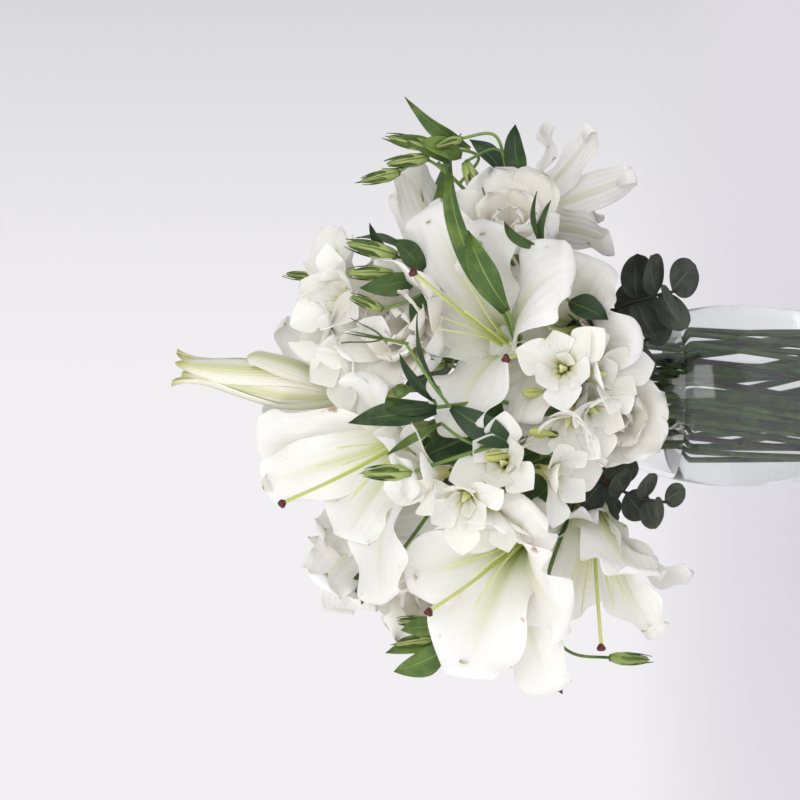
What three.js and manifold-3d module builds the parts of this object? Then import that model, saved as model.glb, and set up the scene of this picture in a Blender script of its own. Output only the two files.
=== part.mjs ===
// Lilies in a clear glass vase: white oriental lilies, freesias and lisianthus, with lisianthus buds,
// lily leaves and eucalyptus, standing in water. Millimetres, +Z up, the origin in the middle of the
// vase's flat underside, the bouquet's front towards -Y.
import * as THREE from "three";
import { mergeVertices } from "three/addons/utils/BufferGeometryUtils.js";
import Module from "manifold-3d";

const wasm = await Module();
wasm.setup();

// ---- driving dimensions --------------------------------------------------------------------------
const CLEARANCE = 1.2; // the least gap that one piece leaves to the next
const NUDGE = 0.3; // the gap left where two pieces would still meet
const SMALLEST_DETAIL = 0.3; // edges that boolean cuts leave behind are merged below this
const VASE_HEIGHT = 230;
const VASE_WALL = 3.6;
const VASE_FLOOR = 16; // the thick glass bottom
const RIM_RADIUS = 50;
const NECK_RADIUS = 48.6;
const BELLY_RADIUS = 64;
const FOOT_RADIUS = 47;
const WATER_LEVEL = 182;
const VASE_SEGMENTS = 16;

const STEM_TWIST = THREE.MathUtils.degToRad(50); // how far the stems spiral between neck and floor
const LILY_STEM_RADIUS = 3.8;
const PEDICEL_RADIUS = 2.3;
const THIN_STEM_RADIUS = 1.5;
const NECK_RINGS = {
  lily: { radius: 15, count: 5, spread: 1.3 },
  inner: { radius: 28, count: 12, spread: 1.25 },
  outer: { radius: 38, count: 17, spread: 0.93 },
};

const TEPAL_THICKNESS = 1.6;
const LEAF_THICKNESS = 1.2;
const RECEPTACLE_DEPTH = 6.5; // the knob where a lily's tepals, stamens and ovary meet
const THROAT_RADIUS = 4.8; // the tepals start this far from the flower's axis
const STYLE_RADIUS = 1.3;
const STALK_RADIUS = 1.2; // the side stalks of buds, blossoms and leaves
const STIGMA_RADIUS = 3.4;

// ---- colours -------------------------------------------------------------------------------------
const finish = (color, roughness, extra = {}) =>
  new THREE.MeshStandardMaterial({ color, roughness, metalness: 0, ...extra });
const FINISHES = {
  glass: finish("#e8eeee", 0.03, { transparent: true, opacity: 0.35 }),
  water: finish("#dfe8e4", 0.02, { transparent: true, opacity: 0.5 }),
  petal: finish("#f6f5f0", 0.55),
  bud: finish("#eceeca", 0.5),
  style: finish("#b9c86a", 0.4),
  freesia: finish("#f5f3e4", 0.5),
  lisianthus: finish("#f7f4e9", 0.6),
  stem: finish("#55722f", 0.5),
  leaf: finish("#3d5a34", 0.45),
  eucalyptus: finish("#46544a", 0.6),
};

// ---- small vector helpers ------------------------------------------------------------------------
const vec = (p) => new THREE.Vector3(p[0], p[1], p[2]);
const UP = new THREE.Vector3(0, 0, 1);
const TURN = 2 * Math.PI;

// A point that lies some way from another along a direction.
const beyond = (point, direction, distance) =>
  point.clone().addScaledVector(direction, distance);

// Any unit direction square to the one given.
function squareTo(direction) {
  const other = Math.abs(direction.z) < 0.9 ? UP : new THREE.Vector3(1, 0, 0);
  return new THREE.Vector3().crossVectors(direction, other).normalize();
}

// ---- solids --------------------------------------------------------------------------------------
// A closed three.js geometry as a solid with its faces outwards.
function solidOf(geometry) {
  geometry.deleteAttribute("normal");
  geometry.deleteAttribute("uv");
  const merged = mergeVertices(geometry, 1e-3);
  const triVerts = new Uint32Array(merged.index.array);
  const build = () =>
    new wasm.Manifold(
      new wasm.Mesh({ numProp: 3, vertProperties: merged.attributes.position.array, triVerts }),
    );
  const made = build();
  if (made.volume() > 0) return made;
  for (let i = 0; i < triVerts.length; i += 3) {
    [triVerts[i + 1], triVerts[i + 2]] = [triVerts[i + 2], triVerts[i + 1]];
  }
  return build();
}

function geometryOf(solid) {
  const mesh = solid.getMesh();
  const geometry = new THREE.BufferGeometry();
  geometry.setAttribute("position", new THREE.BufferAttribute(mesh.vertProperties, 3));
  geometry.setIndex(new THREE.BufferAttribute(mesh.triVerts, 1));
  geometry.computeVertexNormals();
  return geometry;
}

const union = (solids) => wasm.Manifold.union(solids);
const tidied = (solid) => solid.simplify(SMALLEST_DETAIL);

// A profile of [radius, height] points turned about an axis that starts at a point.
function turned(profile, segments, at = new THREE.Vector3(), direction = UP) {
  const points = profile.map(([radius, height]) => new THREE.Vector2(Math.max(radius, 0), height));
  const geometry = new THREE.LatheGeometry(points, segments);
  const turn = new THREE.Quaternion().setFromUnitVectors(
    new THREE.Vector3(0, 1, 0),
    direction.clone().normalize(),
  );
  geometry.applyQuaternion(turn).translate(at.x, at.y, at.z);
  return solidOf(geometry);
}

const smoothLine = (points) => new THREE.CatmullRomCurve3(points, false, "centripetal");

// The point of some polylines that lies nearest to a place.
function nearestOn(polylines, place) {
  const found = polylines.flatMap((line) =>
    line.slice(1).map((end, i) => {
      const spot = new THREE.Vector3();
      return new THREE.Line3(line[i], end).closestPointToPoint(place, true, spot);
    }),
  );
  return found.reduce((best, p) => (p.distanceTo(place) < best.distanceTo(place) ? p : best));
}

// A round stem along a smooth curve through the points. `grow` makes it thicker.
function stem(points, radius, sides, steps, grow = 0) {
  const outline = Array.from({ length: sides }, (_, i) => {
    const angle = (TURN * i) / sides;
    return new THREE.Vector2((radius + grow) * Math.cos(angle), (radius + grow) * Math.sin(angle));
  });
  const extrudePath = smoothLine(points);
  const shape = new THREE.Shape(outline);
  return solidOf(new THREE.ExtrudeGeometry(shape, { steps, bevelEnabled: false, extrudePath }));
}

// A petal or leaf: a sheet that is carried along the Bezier curve of four points. Across the curve it
// spans `lateral`, which turns by `twist` degrees on the way to the tip. Its half width grows from the
// claw to the widest place and then narrows to a point; `cup` bends both edges towards the inner face,
// and `fold` folds them that way about the mid rib.
function sheet(control, lateral, shape) {
  const { width, claw = 0.3, widest = 0.5, blunt = 2, cup = 0, fold = 0, twist = 0 } = shape;
  const { thickness = TEPAL_THICKNESS, grow = 0, across = 2, along = 4 } = shape;
  const curve = new THREE.CubicBezierCurve3(...control);
  const geometry = new THREE.BoxGeometry(1, 1, 1, across, along, 1);
  const position = geometry.attributes.position;
  for (let i = 0; i < position.count; i += 1) {
    const u = 2 * position.getX(i);
    const s = position.getY(i) + 0.5;
    const rise = Math.min(s / widest, 1);
    const fall = Math.max((s - widest) / (1 - widest), 0);
    const full = (claw + (1 - claw) * Math.sin((rise * Math.PI) / 2)) * (1 - fall ** blunt);
    const half = Math.max((width / 2) * full, 0.9) + grow;
    const tangent = curve.getTangent(s);
    const side = lateral.clone().addScaledVector(tangent, -lateral.dot(tangent)).normalize();
    side.applyAxisAngle(tangent, THREE.MathUtils.degToRad(twist) * s);
    const back = new THREE.Vector3().crossVectors(side, tangent);
    const lift = half * (cup * u * u + fold * Math.abs(u));
    const point = beyond(curve.getPoint(s), tangent, grow * (s === 1) - grow * (s === 0));
    point.addScaledVector(side, half * u);
    point.addScaledVector(back, position.getZ(i) * (thickness + 2 * grow) - lift);
    position.setXYZ(i, point.x, point.y, point.z);
  }
  return solidOf(geometry);
}

// A leaf from one point to another. `face` is the side that its upper surface looks to, and `arch`
// lifts its middle that way by a part of its length.
function leaf({ from, to, width, face = [0, -1, 0.4], arch = 0.12, twist = 0, fold = 0.25, ...rest }, grow) {
  const start = vec(from);
  const end = vec(to);
  const span = end.clone().sub(start);
  const up = vec(face).normalize();
  const rise = arch * span.length();
  const control = [
    start,
    beyond(beyond(start, span, 0.33), up, rise),
    beyond(beyond(start, span, 0.7), up, rise),
    end,
  ];
  const lateral = new THREE.Vector3().crossVectors(up, span).normalize();
  return sheet(control, lateral, {
    width, twist, fold, grow, widest: 0.45, blunt: 1.7, claw: 0.25,
    thickness: LEAF_THICKNESS, across: 1, along: 3, ...rest,
  });
}

// ---- the glass vase and its water ----------------------------------------------------------------
// Half widths up the outside of the vase, from the foot through the belly and neck to the rim.
const VASE_OUTLINE = new THREE.SplineCurve([
  new THREE.Vector2(FOOT_RADIUS, 5),
  new THREE.Vector2(FOOT_RADIUS + 6, 50),
  new THREE.Vector2(BELLY_RADIUS - 2, 105),
  new THREE.Vector2(BELLY_RADIUS, 145),
  new THREE.Vector2(BELLY_RADIUS - 4.5, 180),
  new THREE.Vector2(NECK_RADIUS + 4, 205),
  new THREE.Vector2(NECK_RADIUS, 219),
  new THREE.Vector2(RIM_RADIUS, VASE_HEIGHT - 1.5),
]);
const OUTLINE_STEPS = 8;

// The vase's outside at a height, found on the outline.
function vaseRadius(height) {
  const points = VASE_OUTLINE.getPoints(60);
  const next = points.findIndex((p) => p.y >= height);
  if (next < 1) return next === 0 ? points[0].x : RIM_RADIUS;
  const low = points[next - 1];
  const high = points[next];
  return low.x + ((height - low.y) / (high.y - low.y)) * (high.x - low.x);
}

function vase(grow) {
  const outside = VASE_OUTLINE.getPoints(OUTLINE_STEPS);
  const foot = [[0, -grow], [FOOT_RADIUS - 4 + grow, -grow]];
  const outer = outside.map((p) => [p.x + grow, p.y]);
  const lip = [[RIM_RADIUS - VASE_WALL / 2, VASE_HEIGHT + grow]];
  const inner = outside
    .filter((p) => p.y > VASE_FLOOR + 6)
    .reverse()
    .map((p) => [p.x - VASE_WALL - grow, p.y]);
  const well = [
    [vaseRadius(VASE_FLOOR) - VASE_WALL - 5 - grow, VASE_FLOOR + grow],
    [0, VASE_FLOOR + grow],
  ];
  return turned([...foot, ...outer, ...lip, ...inner, ...well], VASE_SEGMENTS);
}

// The water fills the vase up to its level and leaves room round every stem.
function waterBody() {
  const gap = VASE_WALL + CLEARANCE + 0.15;
  const outside = VASE_OUTLINE.getPoints(OUTLINE_STEPS)
    .filter((p) => p.y > VASE_FLOOR + 6 && p.y < WATER_LEVEL - 4)
    .map((p) => [p.x - gap, p.y]);
  return turned(
    [
      [0, VASE_FLOOR + CLEARANCE],
      [vaseRadius(VASE_FLOOR) - gap - 5, VASE_FLOOR + CLEARANCE],
      ...outside,
      [vaseRadius(WATER_LEVEL) - gap, WATER_LEVEL],
      [0, WATER_LEVEL],
    ],
    VASE_SEGMENTS,
  );
}

// ---- stems through the neck ----------------------------------------------------------------------
const takenSlots = { lily: new Set(), inner: new Set(), outer: new Set() };

// The part of a stem that stands in the vase: it leans in a spiral from the floor to a free place in
// the neck that faces its flower, and all stems of a ring lean alike, so they pass without touching.
function throughNeck(ring, towards) {
  const { radius, count, spread } = NECK_RINGS[ring];
  const wanted = (Math.atan2(towards[1], towards[0]) / TURN) * count;
  const order = Array.from({ length: count }, (_, i) => i).sort((a, b) => {
    const away = (slot) => Math.abs(((slot - wanted + 10.5 * count) % count) - count / 2);
    return away(a) - away(b);
  });
  const slot = order.find((i) => !takenSlots[ring].has(i));
  takenSlots[ring].add(slot);
  const angle = (TURN * slot) / count;
  const at = (turn, r, z) => new THREE.Vector3(r * Math.cos(angle + turn), r * Math.sin(angle + turn), z);
  const low = at(-STEM_TWIST, radius * spread, VASE_FLOOR + 4);
  const high = at(0, radius, VASE_HEIGHT - 8);
  return [low, high, at(0, radius, VASE_HEIGHT + 10)];
}

// ---- lilies --------------------------------------------------------------------------------------
// A lily: the place of its receptacle, the tip of its style, and for each of its six tepals the tip
// from the receptacle, the width, how far the tip curls back (`bow`) and how far it reaches out first.
const LILIES = [
  { base: [-23, -32, 358], stigma: [-72, -85, 460], tepals: [
    [-6, 32, 119, 50, 0.18, 0], [-37, 12, 112, 38, 0.15, 0.1], [-74, -8, 46, 50, 0.45, 0.05],
    [-116, -43, 22, 56, 0.3, 0.05], [-27, -104, 12, 42, 0.25, 0], [43, -42, 34, 52, 0.5, 0.1]] },
  { base: [-94, -58, 290], stigma: [-141, -140, 366], tepals: [
    [-97, -37, 46, 58, 0.15, 0], [-26, -17, 87, 44, 0.2, 0.05], [13, -42, 55, 40, 0.4, 0.1],
    [-103, -22, -22, 42, 0.3, 0.15], [-47, -72, -26, 56, 0.4, 0.1], [26, -77, 2, 44, 0.3, 0]] },
  { base: [-67, -50, 247], stigma: [-169, -92, 246], tepals: [
    [3, -38, 48, 50, 0.6, 0.2], [-93, -30, -44, 56, 0.2, 0], [-53, -20, -70, 44, 0.3, 0],
    [-91, 20, 17, 40, 0.1, 0], [-46, -72, -28, 46, 0.25, 0], [-66, 66, 40, 42, 0.3, 0]] },
  { base: [30, -70, 300], stigma: [80, -140, 376], tepals: [
    [-64, -42, 37, 50, 0.4, 0.1], [18, 10, 68, 38, 0.2, 0], [54, 12, 72, 48, 0.1, 0],
    [100, -2, 62, 46, 0.1, 0], [46, -78, -38, 54, 0.5, 0.15], [88, -38, 22, 42, 0.15, 0]] },
  { base: [46, -60, 255], stigma: [24, -138, 315], tepals: [
    [-40, -25, 67, 44, 0.15, 0], [-66, -46, 43, 36, 0.35, 0], [-8, -68, -37, 36, 0.3, 0],
    [46, -48, -15, 42, 0.5, 0.1], [39, -8, 55, 40, 0.2, 0], [-41, -58, -17, 38, 0.3, 0]] },
  { base: [118, -15, 305], stigma: [150, 15, 222], tepals: [
    [69, -25, -58, 42, 0.25, 0.05], [34, -35, -89, 42, 0.2, 0], [-21, -45, -63, 44, 0.45, 0.1],
    [8, 27, -72, 36, 0.2, 0], [75, 55, -28, 42, 0.3, 0], [-8, 80, -48, 42, 0.3, 0]] },
  { base: [72, 0, 322], stigma: [132, 62, 372], tepals: [
    [86, -25, 42, 42, 0.5, 0], [72, 30, 46, 42, 0.4, 0], [54, -52, 32, 44, 0.35, 0.1],
    [66, 78, -2, 44, 0.3, 0], [26, 92, 30, 42, 0.25, 0], [16, 50, 68, 42, 0.3, 0]] },
  { base: [-78, 25, 382], stigma: [-138, 95, 420], tepals: [
    [-68, -22, 14, 42, 0.5, 0], [-50, -32, 48, 44, 0.4, 0.1], [-17, -5, 50, 42, 0.3, 0],
    [-22, 60, 45, 42, 0.25, 0], [-78, 42, 30, 42, 0.3, 0], [-52, 72, -18, 42, 0.3, 0]] },
  { base: [-62, 62, 296], stigma: [-108, 140, 342], spread: { roll: 20, angle: 56, length: 100 } },
  { base: [62, 66, 300], stigma: [100, 148, 344], spread: { roll: 45, angle: 58, length: 98 } },
  { base: [4, 48, 372], stigma: [0, 122, 438], spread: { roll: 10, angle: 54, length: 98 } },
  { base: [0, 62, 252], stigma: [8, 160, 256], spread: { roll: 0, angle: 58, length: 92 } },
];
const SPREAD_WIDTHS = [48, 38]; // inner and outer tepals of an evenly open flower
const SPREAD_BOW = 0.28;

// The tepals of a flower that is open evenly: three broad ones and three narrower ones between them.
function evenTepals(axis, { roll, angle, length }) {
  const side = squareTo(axis);
  return Array.from({ length: 6 }, (_, k) => {
    const turn = THREE.MathUtils.degToRad(roll + 60 * k);
    const out = side.clone().applyAxisAngle(axis, turn);
    const open = THREE.MathUtils.degToRad(angle);
    const tip = beyond(axis.clone().multiplyScalar(length * Math.cos(open)), out, length * Math.sin(open));
    return [tip.x, tip.y, tip.z, SPREAD_WIDTHS[k % 2], SPREAD_BOW, 0];
  });
}

for (const lily of LILIES) {
  lily.centre = vec(lily.base);
  lily.axis = vec(lily.stigma).sub(lily.centre).normalize();
  lily.tepals = lily.tepals ?? evenTepals(lily.axis, lily.spread);
}

// A tepal's middle line: it leaves the throat along the flower's axis, opens outwards and curls back at
// its tip. `side` runs across it, towards the next tepal round the flower.
function tepalLine(lily, [x, y, z, width, bow, reach]) {
  const chord = vec([x, y, z]);
  const tip = lily.centre.clone().add(chord);
  const out = beyond(chord, lily.axis, -chord.dot(lily.axis)).normalize();
  const length = chord.length();
  const root = beyond(lily.centre, out, THROAT_RADIUS);
  const curl = beyond(beyond(tip, lily.axis, bow * length), out, reach * length);
  const curve = new THREE.CubicBezierCurve3(root, beyond(root, lily.axis, 0.38 * length), curl, tip);
  return { curve, width, out, side: new THREE.Vector3().crossVectors(lily.axis, out).normalize() };
}

const TEPAL_RINGS = [0, 0.25, 0.5, 0.75, 1]; // the stations along a tepal
const JOINED_RINGS = 2; // below these the tepals are one funnel, above them they are free
const TEPAL_CUP = 0.22;

// The points across a tepal at one station, left, middle and right, each on both faces. The tepal is
// narrowed where it would run into its neighbours.
function tepalStation(tepals, k, s, grow) {
  const { curve, width, side } = tepals[k];
  const tangent = curve.getTangent(s);
  const middle = beyond(curve.getPoint(s), tangent, s === 1 ? grow : 0);
  const back = new THREE.Vector3().crossVectors(side, tangent);
  const full = s < 0.5 ? 0.3 + 0.7 * Math.sin(Math.PI * s) : 1 - (2 * s - 1) ** 2;
  const wanted = Math.max((width / 2) * full, 1.2);
  return [-1, 0, 1].map((u) => {
    const next = tepals[(k + u + tepals.length) % tepals.length].curve.getPoint(s);
    const half = u ? Math.min(wanted, 0.46 * middle.distanceTo(next)) + grow : 0;
    const point = beyond(middle, side, half * u).addScaledVector(back, -TEPAL_CUP * half);
    const away = TEPAL_THICKNESS / 2 + grow;
    return { front: beyond(point, back, -away), back: beyond(point, back, away) };
  });
}

// A lily's six tepals as one body: a funnel on the receptacle that opens into six free blades.
function corolla(lily, grow) {
  const start = squareTo(lily.axis);
  const across = new THREE.Vector3().crossVectors(lily.axis, start);
  const angle = ({ out }) => Math.atan2(out.dot(across), out.dot(start));
  const tepals = lily.tepals.map((row) => tepalLine(lily, row)).sort((a, b) => angle(a) - angle(b));
  const blades = tepals.map((_, k) => TEPAL_RINGS.map((s) => tepalStation(tepals, k, s, grow)));
  blades.forEach((blade, k) => {
    const next = blades[(k + 1) % blades.length];
    for (let ring = 0; ring < JOINED_RINGS; ring += 1) {
      for (const face of ["front", "back"]) {
        const shared = blade[ring][2][face].clone().lerp(next[ring][0][face], 0.5);
        blade[ring][2][face] = shared;
        next[ring][0][face] = shared;
      }
    }
  });
  const corners = [];
  const triangle = (a, b, c) => corners.push(a, b, c);
  const quad = (a, b, c, d) => {
    triangle(a, b, c);
    triangle(a, c, d);
  };
  const floor = beyond(lily.centre, lily.axis, 1.5 + grow);
  const knob = beyond(lily.centre, lily.axis, -RECEPTACLE_DEPTH - grow);
  const last = TEPAL_RINGS.length - 1;
  for (const blade of blades) {
    for (const [left, right] of [[0, 1], [1, 2]]) {
      for (let ring = 0; ring < last; ring += 1) {
        const [low, high] = [blade[ring], blade[ring + 1]];
        quad(low[left].back, low[right].back, high[right].back, high[left].back);
        quad(low[right].front, low[left].front, high[left].front, high[right].front);
      }
      const [root, tip] = [blade[0], blade[last]];
      triangle(root[left].front, root[right].front, floor);
      triangle(root[right].back, root[left].back, knob);
      quad(tip[left].front, tip[left].back, tip[right].back, tip[right].front);
    }
    for (let ring = JOINED_RINGS - 1; ring < last; ring += 1) {
      const [low, high] = [blade[ring], blade[ring + 1]];
      quad(low[2].front, high[2].front, high[2].back, low[2].back);
      quad(high[0].front, low[0].front, low[0].back, high[0].back);
    }
  }
  return solidOf(new THREE.BufferGeometry().setFromPoints(corners));
}

// The style with its knobbed stigma. The six hair-thin filaments round it are left out of the solids.
function pistil(lily, grow) {
  const tip = vec(lily.stigma);
  const length = tip.distanceTo(lily.centre);
  const root = beyond(lily.centre, lily.axis, 1.5 + 2 * CLEARANCE);
  const parts = [
    stem([beyond(root, lily.axis, 2), tip], STYLE_RADIUS, 4, 1, grow),
    turned([[0, -2.4 - grow], [STIGMA_RADIUS + grow, 0], [0, 2.4 + grow]], 5, tip, lily.axis),
  ];
  return union(parts);
}

// A lily stem: it stands in the vase and forks above the rim into one stalk for each flower or bud.
// `flowers` are the flowers it carries and `waypoints` what a stalk goes round on its way.
const LILY_STEMS = [
  { towards: [-60, -40], fork: [-22, -14, 250], carries: [1, 2], bud: 1 },
  { towards: [-20, 5], fork: [-10, 2, 320], carries: [0, 7], bud: 0 },
  { towards: [30, -55], fork: [12, -18, 252], carries: [3, 4] },
  { towards: [70, 0], fork: [30, -2, 285], carries: [5, 6] },
  { towards: [0, 60], fork: [0, 24, 262], carries: [8, 9, 10, 11] },
];

// Lily buds: a half open one at the top of the bouquet and a closed green one low at the left.
const LILY_BUDS = [
  { base: [1, -6, 410], axis: [0.16, -0.02, 0.99], length: 118, radius: 18 },
  { base: [-52, -36, 262], axis: [-0.3, -0.85, 0.2], length: 62, radius: 9 },
];
const BUD_PROFILE = [[0, 0], [0.45, 0.03], [0.8, 0.2], [1, 0.42], [0.78, 0.7], [0.42, 0.9], [0, 1]];

function lilyBud({ base, axis, length, radius }, grow) {
  const profile = BUD_PROFILE.map(([r, h]) => [r ? r * radius + grow : 0, h * length]);
  profile[0][1] -= grow;
  profile.at(-1)[1] += grow;
  return turned(profile, 8, vec(base), vec(axis).normalize());
}

// The half open bud's three free tips, and the tepal that has come away on its right side.
function openBudTips({ base, axis, length, radius }, grow) {
  const root = vec(base);
  const along = vec(axis).normalize();
  const side = squareTo(along);
  const parts = [];
  for (let k = 0; k < 3; k += 1) {
    const out = side.clone().applyAxisAngle(along, (TURN * k) / 3 + 0.4);
    const tip = beyond(beyond(root, along, length + 8), out, 15);
    parts.push(sheet(
      [beyond(root, along, 0.62 * length), beyond(beyond(root, along, 0.8 * length), out, 5),
        beyond(beyond(root, along, length), out, 7), tip],
      new THREE.Vector3().crossVectors(along, out), { width: 16, grow, along: 3 },
    ));
  }
  const right = new THREE.Vector3(0.8, -0.6, 0);
  parts.push(sheet(
    [beyond(root, along, 4), beyond(beyond(root, along, 40), right, 1.6 * radius),
      beyond(beyond(root, along, 88), right, 1.3 * radius), beyond(beyond(root, along, 68), right, 0.75 * radius)],
    new THREE.Vector3().crossVectors(along, right), { width: 30, grow, cup: 0.3 },
  ));
  return union(parts);
}

// Lily leaves: long blades with a folded mid rib, which grow from the lily stems.
const LILY_LEAVES = [
  [],
  [{ from: [-10, 30, 330], to: [-70, 105, 400], width: 24, face: [0, 0.6, 0.8] }],
  [{ from: [54, -122, 315], to: [155, -126, 350], width: 17, face: [0, -0.5, 0.86], arch: 0.16 },
    { from: [56, -132, 313], to: [108, -136, 340], width: 20, face: [-0.2, -0.8, 0.6] }],
  [{ from: [100, -12, 338], to: [186, 22, 330], width: 24, face: [0.1, -0.3, 0.9] },
    { from: [66, 30, 268], to: [140, 84, 240], width: 26, face: [0.5, 0.5, 0.7] }],
  [{ from: [-24, 52, 244], to: [-104, 118, 232], width: 26, face: [-0.3, 0.5, 0.8] },
    { from: [30, 56, 246], to: [62, 142, 226], width: 24, face: [0.3, 0.5, 0.8] }],
];

function lilyStemCore(row, grow) {
  const fork = vec(row.fork);
  const parts = [stem([...row.route, fork], LILY_STEM_RADIUS, 5, 5, grow)];
  const lines = [smoothLine([...row.route, fork]).getSpacedPoints(5)];
  const stalks = row.carries.map((i) => ({ centre: LILIES[i].centre, axis: LILIES[i].axis, gap: RECEPTACLE_DEPTH }));
  if (row.bud !== undefined) {
    const { base, axis } = LILY_BUDS[row.bud];
    stalks.push({ centre: vec(base), axis: vec(axis).normalize(), gap: 0 });
  }
  for (const { centre, axis, gap } of stalks) {
    const end = beyond(centre, axis, -gap - 2 * CLEARANCE);
    const lead = beyond(centre, axis, -gap - 16);
    const start = fork.clone().lerp(lead, -0.04);
    const middle = start.clone().lerp(lead, 0.5).addScaledVector(UP, 5);
    const stalk = [start, middle, lead, end];
    lines.push(smoothLine(stalk).getSpacedPoints(5));
    parts.push(stem(stalk, PEDICEL_RADIUS, 4, 5, grow));
  }
  for (const { at, direction } of row.seats) {
    parts.push(stem([nearestOn(lines, at), beyond(at, direction, 3)], STALK_RADIUS, 3, 1, grow));
  }
  return union(parts);
}

// ---- freesias ------------------------------------------------------------------------------------
// A freesia spray: its stem's points above the neck, and its blossoms by place, direction and size.
// Buds further out on the spray are small and closed.
const FREESIAS = [
  { ring: "inner", path: [[-30, -70, 262], [-46, -98, 300], [-52, -112, 345]],
    blossoms: [[[-50, -108, 345], [-0.1, -0.5, 0.9], 1.1], [[-58, -104, 334], [-0.5, -0.85, 0.35], 1],
      [[-62, -100, 318], [-0.95, -0.4, 0.1], 1], [[-46, -102, 310], [0.1, -0.95, 0.3], 1],
      [[-40, -100, 302], [0.8, -0.6, 0.1], 0.6], [[-48, -95, 292], [-0.2, -0.75, -0.65], 1]],
    buds: [[[-37, -112, 300], [-0.1, -0.3, 0.9], 0.9], [[-26, -112, 278], [0.1, -0.5, 0.8], 0.7]] },
  { ring: "inner", by: [0, -28], path: [[2, -60, 250], [6, -96, 258], [4, -108, 268]],
    blossoms: [[[16, -108, 272], [0.1, -0.97, 0.25], 1.05], [[-2, -104, 268], [-0.75, -0.6, 0.2], 1],
      [[12, -106, 262], [0.1, -0.8, -0.6], 1], [[-2, -104, 262], [-0.45, -0.8, -0.4], 0.9]],
    buds: [[[2, -104, 280], [0, -0.4, 0.9], 0.7]] },
  { ring: "inner", path: [[40, -15, 300], [52, -22, 360], [56, -28, 396]],
    blossoms: [[[40, -28, 402], [-0.6, -0.5, 0.65], 1.1], [[50, -26, 404], [-0.1, -0.3, 0.95], 1],
      [[64, -30, 402], [0.1, -0.7, 0.7], 1.1], [[74, -24, 400], [0.55, -0.4, 0.75], 1.1],
      [[44, -34, 398], [-0.45, -0.85, 0.2], 1], [[60, -4, 402], [0.2, 0.6, 0.75], 1]],
    buds: [[[92, -20, 412], [0.5, -0.1, 0.8], 0.5]] },
  { ring: "inner", path: [[-35, 60, 300], [-62, 86, 350], [-70, 92, 372]],
    blossoms: [[[-70, 92, 372], [-0.3, 0.7, 0.6], 1.1], [[-80, 88, 366], [-0.8, 0.5, 0.3], 1],
      [[-60, 96, 362], [0.3, 0.9, 0.2], 1], [[-66, 86, 378], [-0.1, 0.1, 1], 1]],
    buds: [[[-76, 84, 384], [-0.4, 0.2, 0.9], 0.7]] },
  { ring: "inner", by: [26, 12], path: [[62, 44, 268], [90, 84, 292], [100, 98, 312]],
    blossoms: [[[100, 98, 312], [0.5, 0.6, 0.6], 1.1], [[108, 90, 304], [0.9, 0.3, 0.2], 1],
      [[94, 104, 300], [0.2, 0.95, 0], 1], [[102, 92, 296], [0.6, 0.5, -0.6], 0.9]],
    buds: [[[106, 100, 322], [0.4, 0.4, 0.8], 0.7]] },
];
const FREESIA_LENGTH = 36;
const FREESIA_MOUTH = 17;
const FREESIA_PROFILE = [[0, 0], [0.2, 0.04], [0.3, 0.45], [1, 1], [0, 0.62]];
const FREESIA_BUD = [[0, 0], [0.2, 0.25], [0.24, 0.65], [0, 1]];

// A bell that opens from a thin tube, or a closed bud of the same size, turned from its profile.
function bell(profile, length, mouth, [at, direction, size], segments, grow) {
  const scaled = profile.map(([r, h]) => [r ? r * mouth * size + grow : 0, h * length * size]);
  scaled[0][1] -= grow;
  scaled.at(-1)[1] += grow;
  return turned(scaled, segments, vec(at), vec(direction).normalize());
}

// ---- lisianthus ----------------------------------------------------------------------------------
// Double lisianthus flowers, each a ruffled cup on its own stem: place, direction and size.
const LISIANTHUS = [
  { ring: "inner", path: [[-12, -52, 242], [-14, -72, 236]], flower: [[-12, -74, 238], [-0.1, -0.95, -0.1], 0.85] },
  { ring: "inner", path: [[38, -30, 320], [46, -42, 358]], flower: [[46, -44, 360], [0.05, -0.8, 0.6], 1.15] },
  { ring: "inner", path: [[70, -30, 280], [98, -50, 300]], flower: [[100, -52, 302], [0.6, -0.75, 0.15], 1] },
  { ring: "inner", path: [[-50, 60, 262], [-90, 84, 268]], flower: [[-92, 85, 268], [-0.75, 0.6, 0.1], 1.1] },
  { ring: "inner", path: [[40, 64, 262], [58, 96, 262]], flower: [[60, 98, 262], [0.4, 0.9, -0.1], 1.1] },
  { ring: "inner", path: [[-90, -4, 320], [-122, -18, 344]], flower: [[-124, -19, 345], [-0.6, -0.7, 0.4], 0.95] },
];
const LISIANTHUS_LENGTH = 42;
const LISIANTHUS_MOUTH = 27;
const LISIANTHUS_PROFILE = [[0, 0], [0.2, 0.02], [0.75, 0.4], [1, 1], [0.4, 0.8], [0, 0.7]];

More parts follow.
